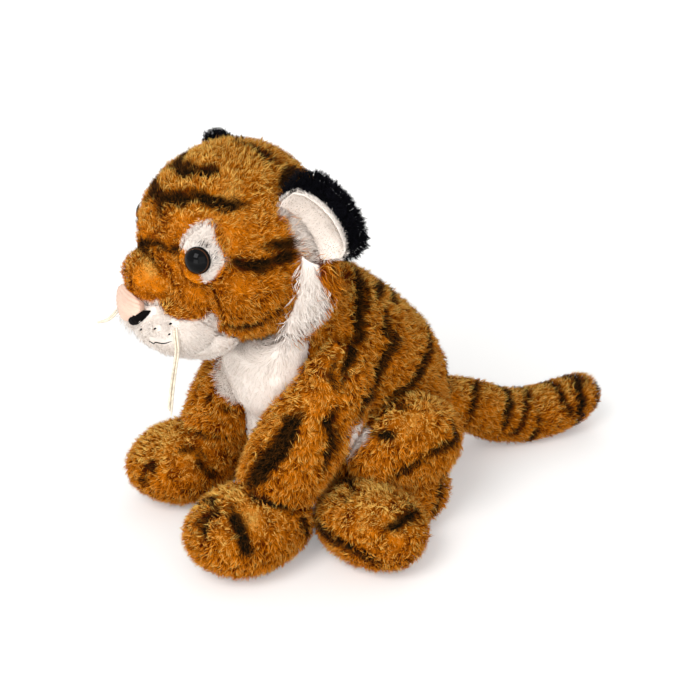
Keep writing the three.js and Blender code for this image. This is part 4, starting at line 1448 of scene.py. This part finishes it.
# Whiskers: side, route, number of threads and their radius. Then the points of a thread, how far it is
# from the bundle's middle, at what angle, how flat the bundle is and how much wider at its end, and how
# far, how often and which way a thread wavers.
WHISKERS = (("left", HANG_ROUTE, 3, 0.00062), ("right", REACH_ROUTE, 2, 0.0006))
THREAD_POINTS = 24
THREAD_SPACING, THREAD_TURN, BUNDLE_FLAT, BUNDLE_OPENS = 0.00085, 0.6, 0.25, 0.5
THREAD_WAVER, THREAD_WAVES = 0.00018, 5
WAVER_WAY = np.array((1.0, 0.6, 0.0))

# The eye: its radius, the dome over its rim, the rim, and the radius and length of its stem.
EYE_RADIUS, EYE_DOME, EYE_RIM, EYE_STEM, STEM_LENGTH = 0.0075, 0.0046, 0.0012, 0.0022, 0.015
RIM_BEVEL, STEM_BEVEL = 0.0005, 0.0004
DOME_RINGS = 18
EYE_SIDES = 64

# The nose: the way it faces and how squarely it has to for its whole relief, the way across its pleats,
# their spacing, depth and waver, and its swell.
NOSE_FRONT = (-0.05, -0.95, 0.3)
FACES_FRONT = (0.0, 0.5)
ACROSS_PLEATS = np.array((0.0, 0.25, 0.95))
PLEAT_SPACING, PLEAT_DEPTH, PLEAT_WAVER, NOSE_SWELL = 0.0018, 0.00022, 0.00015, 0.0007

# Stitches: radius at the thickest, how far they lie over the skin, and the points along them.
NOSTRIL_RADIUS, NOSTRIL_LIFT, NOSTRIL_POINTS = 0.0034, 0.0001, 26
MOUTH_RADIUS, MOUTH_LIFT, MOUTH_POINTS = 0.00034, 0.0012, 20
DOT_RADIUS, DOT_LIFT = 0.00085, 0.0015
DOT_HALF = np.array((0.0004, 0.0, -0.0003))
DOT_SHARES = np.array((0.3, 0.8, 1.0, 1.0, 0.8, 0.3))

# How blunt the ends of nostril and mouth are, the least share of their radius, and how much thicker the
# nostril is at its inner end; then how far a stitch swells, and its turn to the next one.
NOSTRIL_BLUNT, NOSTRIL_LEAST, NOSTRIL_LEAN = 2.2, 0.04, 0.08
MOUTH_BLUNT, MOUTH_LEAST = 3, 0.02
STITCH_SWELL, STITCH_TURN = 0.06, 2.4

# The pellets show as lumps of this height, and the bag lies this far inside its solid.
PELLET_LUMPS = 0.0006
BAG_INSET = 0.0007

# The floor is a square with sides of twice this, and glows more from the middle outwards.
FLOOR_HALF = 12.0
FLOOR_GLOW = (0.25, 1.3, 0.22, 0.75)
PURE_WHITE = (1.0, 1.0, 1.0, 1.0)

# Lamps: name, place, size, the setting for their power, and their share of it.
LAMPS = (
    ("key", (0.5, -1.0, 1.2), 0.7, "key", 1.0), ("fill", (1.3, -0.3, 0.5), 1.2, "fill", 1.0),
    ("low", (0.85, -1.25, 0.2), 0.8, "fill", 1.1), ("rear", (-0.9, 0.9, 0.9), 0.9, "fill", 0.7),
)
LAMPS_AIM = Vector((0.0, -0.03, 0.1))


def pointed(name, data, place, way):
    """A new camera or lamp at this place, looking this way."""
    thing = add_object(name, data)
    thing.location = place
    thing.rotation_mode = "QUATERNION"
    thing.rotation_quaternion = way.to_track_quat("-Z", "Y")
    return thing


class TIGER_OT_camera(bpy.types.Operator):
    """Sets the camera at the photograph's angle"""

    bl_idname = "tiger.camera"
    bl_label = "Camera"

    def execute(self, context):
        stage = context.scene.tiger_stage
        a, e = stage.azimuth, stage.elevation
        back = Vector((math.sin(a) * math.cos(e), -math.cos(a) * math.cos(e), math.sin(e)))
        data = bpy.data.cameras.new("camera")
        data.lens, data.sensor_width = stage.focal, 36.0
        data.shift_x, data.shift_y = (shift / PHOTO_SIDE for shift in VIEW_SHIFT)
        data.clip_start, data.clip_end = 0.02, 60.0
        place = Vector(stage.look_at) + back * stage.distance
        context.scene.camera = pointed("camera", data, place, -back)
        return {"FINISHED"}


class TIGER_OT_whiskers(bpy.types.Operator):
    """Waxed threads that hang and reach from the muzzle"""

    bl_idname = "tiger.whiskers"
    bl_label = "Whiskers"

    def execute(self, context):
        finish = woven_material("whisker thread", colours().whisker)
        rng = np.random.default_rng(pile().seed)
        along = np.linspace(0, 1, THREAD_POINTS)[:, None]
        for side, route, threads, radius in WHISKERS:
            middle = smooth_line(route, THREAD_POINTS)
            for k in range(threads):
                turn = 2 * math.pi * k / threads + THREAD_TURN
                offset = np.array((math.cos(turn), math.sin(turn), BUNDLE_FLAT * math.sin(turn)))
                offset = offset * THREAD_SPACING
                waver = rng.normal(0, THREAD_WAVER) * np.sin(THREAD_WAVES * along + k)
                line = middle + offset * (1.0 + BUNDLE_OPENS * along ** 2) + waver * WAVER_WAY
                line = line[:THREAD_POINTS - k]
                radii = (1.0,) * (len(line) - len(THREAD_ENDS)) + THREAD_ENDS
                name = f"whisker_{side}_{k + 1}"
                curve = round_curve(name, line, depth=radius, resolution=3, radii=radii)
                thread = add_object(name, curve)
                thread.data.materials.append(finish)
                if k == 0:
                    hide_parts("whisker_" + side)
                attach(thread, "head")
                tuple(line[0])
                line_length(line)
        return {"FINISHED"}


class TIGER_OT_trunk(bpy.types.Operator):
    """Striped pile of the trunk and the neck"""

    bl_idname = "tiger.trunk"
    bl_label = "Trunk"

    def execute(self, context):
        length = pile().body_length
        coat_of(Coat("torso", "torso", "orange_plush", length, stripes=("trunk",), voxel=0.0032,
                     way=(0, 0.35, -1.0), rise=0.62, under="belly_panel"))
        coat_of(Coat("neck", "neck", "orange_plush", length * 1.3, voxel=0.0022, per_square=1.3e6,
                     cover=0.0003, way=(0, -1.0, -0.3), rise=0.75, tufted=0.3))
        return {"FINISHED"}


class TIGER_OT_bib(bpy.types.Operator):
    """White pile of the bib and the belly"""

    bl_idname = "tiger.bib"
    bl_label = "Bib and belly"

    def execute(self, context):
        coat_of(Coat("belly_panel", "torso", "white_plush", pile().white_length * 0.8, white=1.0,
                     voxel=0.0014, way=(0, -0.1, -1.0), rise=0.2, swirl=0.15, tufted=0.1, loose=0.5,
                     width=0.75, per_square=0.3e6, depth=0.15, cover=0.0004,
                     thick_at=((14, -102, 138), 0.026, 4.5), short_at=(((14, -102, 137), 0.016, 0.03, 3.0),),
                     combed_at=((12, -104, 136), 0.026, (0.1, -0.5, 1.0))))
        return {"FINISHED"}


class TIGER_OT_head(bpy.types.Operator):
    """Short striped pile of the head"""

    bl_idname = "tiger.head"
    bl_label = "Head"

    def execute(self, context):
        coat_of(Coat("head", "head", "orange_plush", pile().head_length, stripes=("head", "lash"),
                     voxel=0.0019, source=(-8, -178, 168), pull=1.0, way=(0, 0.15, -0.25), rise=0.62,
                     width=0.8, per_square=1.5e6, tufted=0.5, swirl=0.45, over=1.6, tuft_share=0.85,
                     short_at=(((-6, -170, 178), 0.026, 0.055, 0.66), ((11, -168, 168), 0.004, 0.011, 0.5)),
                     long_white=0.6))
        return {"FINISHED"}


class TIGER_OT_muzzle(bpy.types.Operator):
    """Short white pile of the muzzle and the chin, orange up on the cheeks"""

    bl_idname = "tiger.muzzle"
    bl_label = "Muzzle and chin"

    def execute(self, context):
        length = pile().white_length
        coat_of(Coat("muzzle", "head", "white_plush", length, white=1.0, voxel=0.0016,
                     source=(-8, -184, 164), pull=1.0, way=(0, 0.2, -0.3), rise=0.45, swirl=0.2,
                     tufted=0.2, loose=0.6, width=0.85, per_square=1.15e6, depth=0.3, smooth=5, over=1.6,
                     thick_at=((15, -168, 165), 0.014, 2.6),
                     short_at=(((-7, -172, 166), 0.016, 0.03, 1.3), ((-24, -174, 156), 0.01, 0.024, 1.6),
                               ((13, -168, 163), 0.003, 0.009, 0.55))))
        coat_of(Coat("jaw", "head", "white_plush", length, white=1.0, voxel=0.0018,
                     source=(-8, -184, 164), pull=0.8, way=(0, 0.2, -0.6), rise=0.5, swirl=0.2,
                     tufted=0.15, loose=0.5, width=0.85, per_square=0.8e6, depth=0.4, smooth=5, over=1.2))
        return {"FINISHED"}


class TIGER_OT_patches(bpy.types.Operator):
    """White pile round the eyes"""

    bl_idname = "tiger.patches"
    bl_label = "Eye patches"

    def execute(self, context):
        for side, _ in SIDES:
            coat_of(Coat("eye_patch_" + side, "head", "white_plush", pile().white_length, white=1.0,
                         voxel=0.0007, source=(-8, -178, 168), pull=1.0, way=(0, 0.1, 0.3),
                         rise=0.45, width=0.85, per_square=1.7e6, tufted=0.2, loose=0.6, swirl=0.2,
                         depth=0.3, over=0.4, cover=0.0004, stripes=("lash",)))
        return {"FINISHED"}


class TIGER_OT_ruffs(bpy.types.Operator):
    """Long white hair behind the cheeks"""

    bl_idname = "tiger.ruffs"
    bl_label = "Ruffs"

    def execute(self, context):
        for side, sign in SIDES:
            coat_of(Coat("cheek_ruff_" + side, "head", "white_plush", pile().ruff_length, white=1.0,
                         voxel=0.0014, way=(0.25 * sign, 0.45, -1.2), rise=0.25, width=1.1, over=0.3,
                         per_square=0.56e6, tufted=0.7, swirl=0.25, depth=0.2))
        return {"FINISHED"}


class TIGER_OT_ears(bpy.types.Operator):
    """Shaggy black ears with their white linings"""

    bl_idname = "tiger.ears"
    bl_label = "Ears"

    def execute(self, context):
        for side, sign in SIDES:
            root = (46 * sign, -90, 205)
            coat_of(Coat("ear_back_" + side, "ear_" + side, "black_plush", pile().ear_length,
                         black=True, voxel=0.0014, source=root, pull=1.0, way=(0, 0.3, 0.1), rise=0.6,
                         per_square=1.5e6, width=1.1, tufted=0.68, swirl=0.5, depth=0.6))
            coat_of(Coat("ear_lining_" + side, "ear_" + side, "white_plush", pile().white_length * 0.8,
                         white=1.0, black=True, voxel=0.001, smooth=14, source=root, pull=0.5,
                         way=(0, 0, 0.1), rise=0.42, per_square=0.9e6, width=0.8, tufted=0.15, loose=0.5,
                         swirl=0.2, depth=0.1, cover=0.0005))
        return {"FINISHED"}


class TIGER_OT_front_legs(bpy.types.Operator):
    """Striped pile of the front legs and paws"""

    bl_idname = "tiger.front_legs"
    bl_label = "Front legs"

    def execute(self, context):
        length = pile().body_length
        for (side, sign), own in zip(SIDES, (("leg", "paw"), ("far",))):
            body = "front_leg_" + side
            coat_of(Coat(body, body, "orange_plush", length, stripes=("trunk",) + own,
                         way=(0, -0.25, -1.0), rise=0.62))
            coat_of(Coat("front_paw_" + side, body, "orange_plush", length * 0.92, stripes=own,
                         source=(45 * sign, -105, 60), pull=1.0, way=(0, -0.45, -0.35), rise=0.62))
        return {"FINISHED"}


class TIGER_OT_hind_legs(bpy.types.Operator):
    """Striped pile of the hind legs and feet"""

    bl_idname = "tiger.hind_legs"
    bl_label = "Hind legs"

    def execute(self, context):
        length = pile().body_length
        for side, sign in SIDES:
            body = "hind_leg_" + side
            coat_of(Coat(body, body, "orange_plush", length, stripes=("trunk", "hind"),
                         way=(0, -0.1, -1.0), rise=0.62))
            coat_of(Coat("hind_foot_" + side, body, "orange_plush", length * 0.92,
                         stripes=("foot", "hind"), source=(70 * sign, -30, 50), pull=1.0,
                         way=(0.1 * sign, -0.5, -0.3), rise=0.62))
        return {"FINISHED"}


class TIGER_OT_tail(bpy.types.Operator):
    """Ringed pile of the tail"""

    bl_idname = "tiger.tail"
    bl_label = "Tail"

    def execute(self, context):
        coat_of(Coat("tail", "tail", "orange_plush", pile().body_length * 0.85, stripes=("tail",),
                     along_line=TAIL_LINE, rise=0.5, swirl=0.45, per_square=1.2e6))
        return {"FINISHED"}


def eye_profile():
    """Half of the eye's outline, as (radius, height) from the end of its stem to the top of its dome."""
    half, foot = EYE_RIM / 2, -STEM_LENGTH - EYE_RIM / 2
    profile = [(0.0, foot), (EYE_STEM - STEM_BEVEL, foot), (EYE_STEM, -STEM_LENGTH), (EYE_STEM, -half)]
    profile += [(EYE_RADIUS - RIM_BEVEL, -half), (EYE_RADIUS, -half / 2), (EYE_RADIUS, half)]
    ball = (EYE_RADIUS ** 2 + EYE_DOME ** 2) / (2 * EYE_DOME)
    for k in range(1, DOME_RINGS + 1):
        turn = math.asin(EYE_RADIUS / ball) * (1 - k / DOME_RINGS)
        profile.append((ball * math.sin(turn), half + EYE_DOME - ball + ball * math.cos(turn)))
    return profile


def lathed(profile, steps):
    """A round form turned about the upright axis from a line of (radius, height) points."""
    bm = bmesh.new()
    verts = [bm.verts.new((radius, 0.0, height)) for radius, height in profile]
    for a, b in zip(verts[:-1], verts[1:]):
        bm.edges.new((a, b))
    bmesh.ops.spin(bm, geom=bm.verts[:] + bm.edges[:], cent=(0, 0, 0), axis=(0, 0, 1),
                   angle=2 * math.pi, steps=steps, use_merge=True)
    bmesh.ops.remove_doubles(bm, verts=bm.verts, dist=WELD)
    bmesh.ops.recalc_face_normals(bm, faces=bm.faces)
    return bm


class TIGER_OT_eyes(bpy.types.Operator):
    """Domed black eyes with their stems, and the washers behind"""

    bl_idname = "tiger.eyes"
    bl_label = "Eyes"

    def execute(self, context):
        finish = eye_material()
        left_way = EYE_AXIS.normalized()
        right_way = Vector(across_head(NECK + np.array(left_way)[None])[0] - NECK)
        right_seat = Vector(across_head(np.array(EYE_SEAT)[None])[0])
        for side, way, seat in (("left", left_way, EYE_SEAT), ("right", right_way, right_seat)):
            bm = lathed(eye_profile(), EYE_SIDES)
            ring = bm.verts.layers.float.new("ring")
            for vert in bm.verts:
                out = math.hypot(vert.co.x, vert.co.y) / EYE_RADIUS
                vert[ring] = out if vert.co.z > 0 else 1.0
            bm.transform(Matrix.Translation(seat) @ way.to_track_quat("Z", "Y").to_matrix().to_4x4())
            glass = finished(bm, "eye_" + side + "_glass", finish)
            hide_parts("eye_" + side)
            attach(glass, "head")
        washer = moulded_material("washer plastic", colours().washer)
        for side, _ in SIDES:
            finishes = frame["nodes"]["eye_washer_" + side].data.materials
            finishes.clear()
            finishes.append(washer)
        return {"FINISHED"}


class TIGER_OT_nose(bpy.types.Operator):
    """Pleated satin nose"""

    bl_idname = "tiger.nose"
    bl_label = "Nose"

    def execute(self, context):
        bm, points, _, normals = remeshed("nose", voxel=0.0006, smooth_steps=8)
        outward = eased(normals @ unit(np.array(NOSE_FRONT)), *FACES_FRONT)
        pleat = points @ ACROSS_PLEATS + drift(points, size=0.02, seed=3)[:, 0] * PLEAT_WAVER
        ridge = np.sin(pleat * 2 * math.pi / PLEAT_SPACING) * PLEAT_DEPTH
        set_places(bm, points + normals * ((ridge + NOSE_SWELL) * outward)[:, None])
        nose = finished(bm, "nose_satin", woven_material("nose satin", colours().satin))
        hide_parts("nose")
        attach(nose, "head")
        return {"FINISHED"}


def stitched_bar(name, line, radii, finish):
    """A bar of close stitches along a line, thickest where its radius says."""
    curve = round_curve(name, line, depth=1.0, resolution=4, radii=radii)
    bm = evaluated(add_object(name + "_line", curve))
    bmesh.ops.remove_doubles(bm, verts=bm.verts, dist=WELD)
    bmesh.ops.recalc_face_normals(bm, faces=bm.faces)
    bar = finished(bm, name, finish)
    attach(bar, "head")


def uneven(radii):
    """Radii that swell a little at each stitch."""
    return radii * (1 + STITCH_SWELL * np.sin(np.arange(len(radii)) * STITCH_TURN))


def laid(tree, line, lift):
    """The line laid on the skin, this far over it."""
    found = [tree.find_nearest(Vector(place)) for place in line]
    return np.array([spot + normal * lift for spot, normal, _, _ in found])


class TIGER_OT_stitches(bpy.types.Operator):
    """Embroidered nostrils, mouth and whisker dots"""

    bl_idname = "tiger.stitches"
    bl_label = "Stitches"

    def execute(self, context):
        finish = woven_material("stitching", colours().stitch)
        tree = tree_of(("muzzle", "jaw", "nose"))
        along = np.linspace(-1, 1, NOSTRIL_POINTS)
        nostril_radii = np.clip(1 - np.abs(along) ** NOSTRIL_BLUNT, NOSTRIL_LEAST, 1)
        nostril_radii = nostril_radii * (1 - NOSTRIL_LEAN * along)
        mouth_radii = 1 - np.abs(np.linspace(-1, 1, MOUTH_POINTS)) ** MOUTH_BLUNT
        mouth_radii = np.sqrt(np.clip(mouth_radii, MOUTH_LEAST, 1))
        for side, on_side in (("left", np.array), ("right", across_head)):
            nostril = on_side(smooth_line(NOSTRIL, NOSTRIL_POINTS))
            nostril[:, 1] -= NOSTRIL_LIFT
            stitched_bar("nostril_" + side, nostril, uneven(NOSTRIL_RADIUS * nostril_radii), finish)
            mouth = laid(tree, on_side(smooth_line(MOUTH, MOUTH_POINTS)), MOUTH_LIFT)
            stitched_bar("mouth_" + side, mouth, uneven(MOUTH_RADIUS * mouth_radii), finish)
            for k, dot in enumerate(DOTS):
                middle = np.array(dot) * MM
                line = on_side(np.linspace(middle - DOT_HALF, middle + DOT_HALF, len(DOT_SHARES)))
                line = laid(tree, line, DOT_LIFT)
                stitched_bar(f"dot_{side}_{k + 1}", line, DOT_RADIUS * DOT_SHARES, finish)
        return {"FINISHED"}


class TIGER_OT_bag(bpy.types.Operator):
    """Pellet bag inside the rump"""

    bl_idname = "tiger.bag"
    bl_label = "Pellet bag"

    def execute(self, context):
        bm, points, _, normals = remeshed("pellet_bag", voxel=0.002, smooth_steps=4)
        lumps = drift(points, size=0.006, seed=21)[:, 0]
        lumps = lumps + 0.5 * drift(points, size=0.003, seed=22)[:, 1]
        set_places(bm, points + normals * (np.clip(lumps, -1, 1) * PELLET_LUMPS - BAG_INSET)[:, None])
        bag = finished(bm, "pellet_bag_cloth", woven_material("bag cotton", colours().bag))
        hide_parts("pellet_bag")
        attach(bag, "torso")
        return {"FINISHED"}


class TIGER_OT_stage(bpy.types.Operator):
    """Pale floor, white surroundings and soft lamps"""

    bl_idname = "tiger.stage"
    bl_label = "Stage"

    def execute(self, context):
        scene, stage = context.scene, context.scene.tiger_stage
        material, tree, shader = new_material("floor", roughness=0.9, specular=0.1)
        shader.inputs["Base Color"].default_value = tuple(stage.floor)
        out = shader_node(tree, "VectorMath", object_place(tree))
        out.operation = "LENGTH"
        glow = shader_node(tree, "Emission", Strength=stepped(tree, out.outputs["Value"], *FLOOR_GLOW))
        black = shader_node(tree, "Emission", Strength=0.0)
        lit = shader_node(tree, "MixShader", seen_plainly(tree), black.outputs[0], glow.outputs[0])
        both = shader_node(tree, "AddShader", shader.outputs[0], lit.outputs[0])
        tree.links.new(both.outputs[0], tree.nodes["Material Output"].inputs["Surface"])
        bm = bmesh.new()
        bmesh.ops.create_grid(bm, x_segments=1, y_segments=1, size=FLOOR_HALF)
        floor = finished(bm, "floor", material)
        world = bpy.data.worlds.new("studio")
        world.use_nodes = True
        scene.world = world
        tree = world.node_tree
        sky = tree.nodes["Background"]
        fed(tree, zip(sky.inputs, (PURE_WHITE, stage.sky)))
        plain = shader_node(tree, "Background", PURE_WHITE, 1.0)
        seen = shader_node(tree, "MixShader", seen_plainly(tree), sky.outputs[0], plain.outputs[0])
        tree.links.new(seen.outputs[0], tree.nodes["World Output"].inputs["Surface"])
        for name, place, size, setting, share in LAMPS:
            data = bpy.data.lights.new(name, "AREA")
            data.energy, data.size = getattr(stage, setting) * share, size
            pointed(name, data, place, LAMPS_AIM - Vector(place))
        scene.view_settings.view_transform = "Standard"
        return {"FINISHED"}


STEPS = (
    TIGER_OT_camera, TIGER_OT_whiskers, TIGER_OT_trunk, TIGER_OT_bib, TIGER_OT_head, TIGER_OT_muzzle,
    TIGER_OT_patches, TIGER_OT_ruffs, TIGER_OT_ears, TIGER_OT_front_legs, TIGER_OT_hind_legs,
    TIGER_OT_tail, TIGER_OT_eyes, TIGER_OT_nose, TIGER_OT_stitches, TIGER_OT_bag, TIGER_OT_stage,
)
SETTINGS = (("tiger_pile", TigerPile), ("tiger_colours", TigerColours), ("tiger_stage", TigerStage))


class TIGER_PT_panel(bpy.types.Panel):
    """The settings and the steps, in the order that they run"""

    bl_idname = "TIGER_PT_panel"
    bl_label = "Plush Tiger"
    bl_space_type = "VIEW_3D"
    bl_region_type = "UI"
    bl_category = "Plush Tiger"

    def draw(self, context):
        for name, kind in SETTINGS:
            box = self.layout.box()
            for field in kind.__annotations__:
                box.prop(getattr(context.scene, name), field)
        column = self.layout.column()
        for step in STEPS:
            column.operator(step.bl_idname)


def register():
    """Adds the settings, the steps and the panel."""
    for kind in [kind for _, kind in SETTINGS] + list(STEPS) + [TIGER_PT_panel]:
        bpy.utils.register_class(kind)
    for name, kind in SETTINGS:
        setattr(bpy.types.Scene, name, bpy.props.PointerProperty(type=kind))


def unregister():
    """Takes them out again."""
    for name, _ in SETTINGS:
        delattr(bpy.types.Scene, name)
    for kind in [TIGER_PT_panel] + list(STEPS) + [kind for _, kind in SETTINGS]:
        bpy.utils.unregister_class(kind)


def main():
    """Runs all steps in order."""
    register()
    for step in STEPS:
        group, name = step.bl_idname.split(".")
        getattr(getattr(bpy.ops, group), name)()


if __name__ == "__main__":
    main()
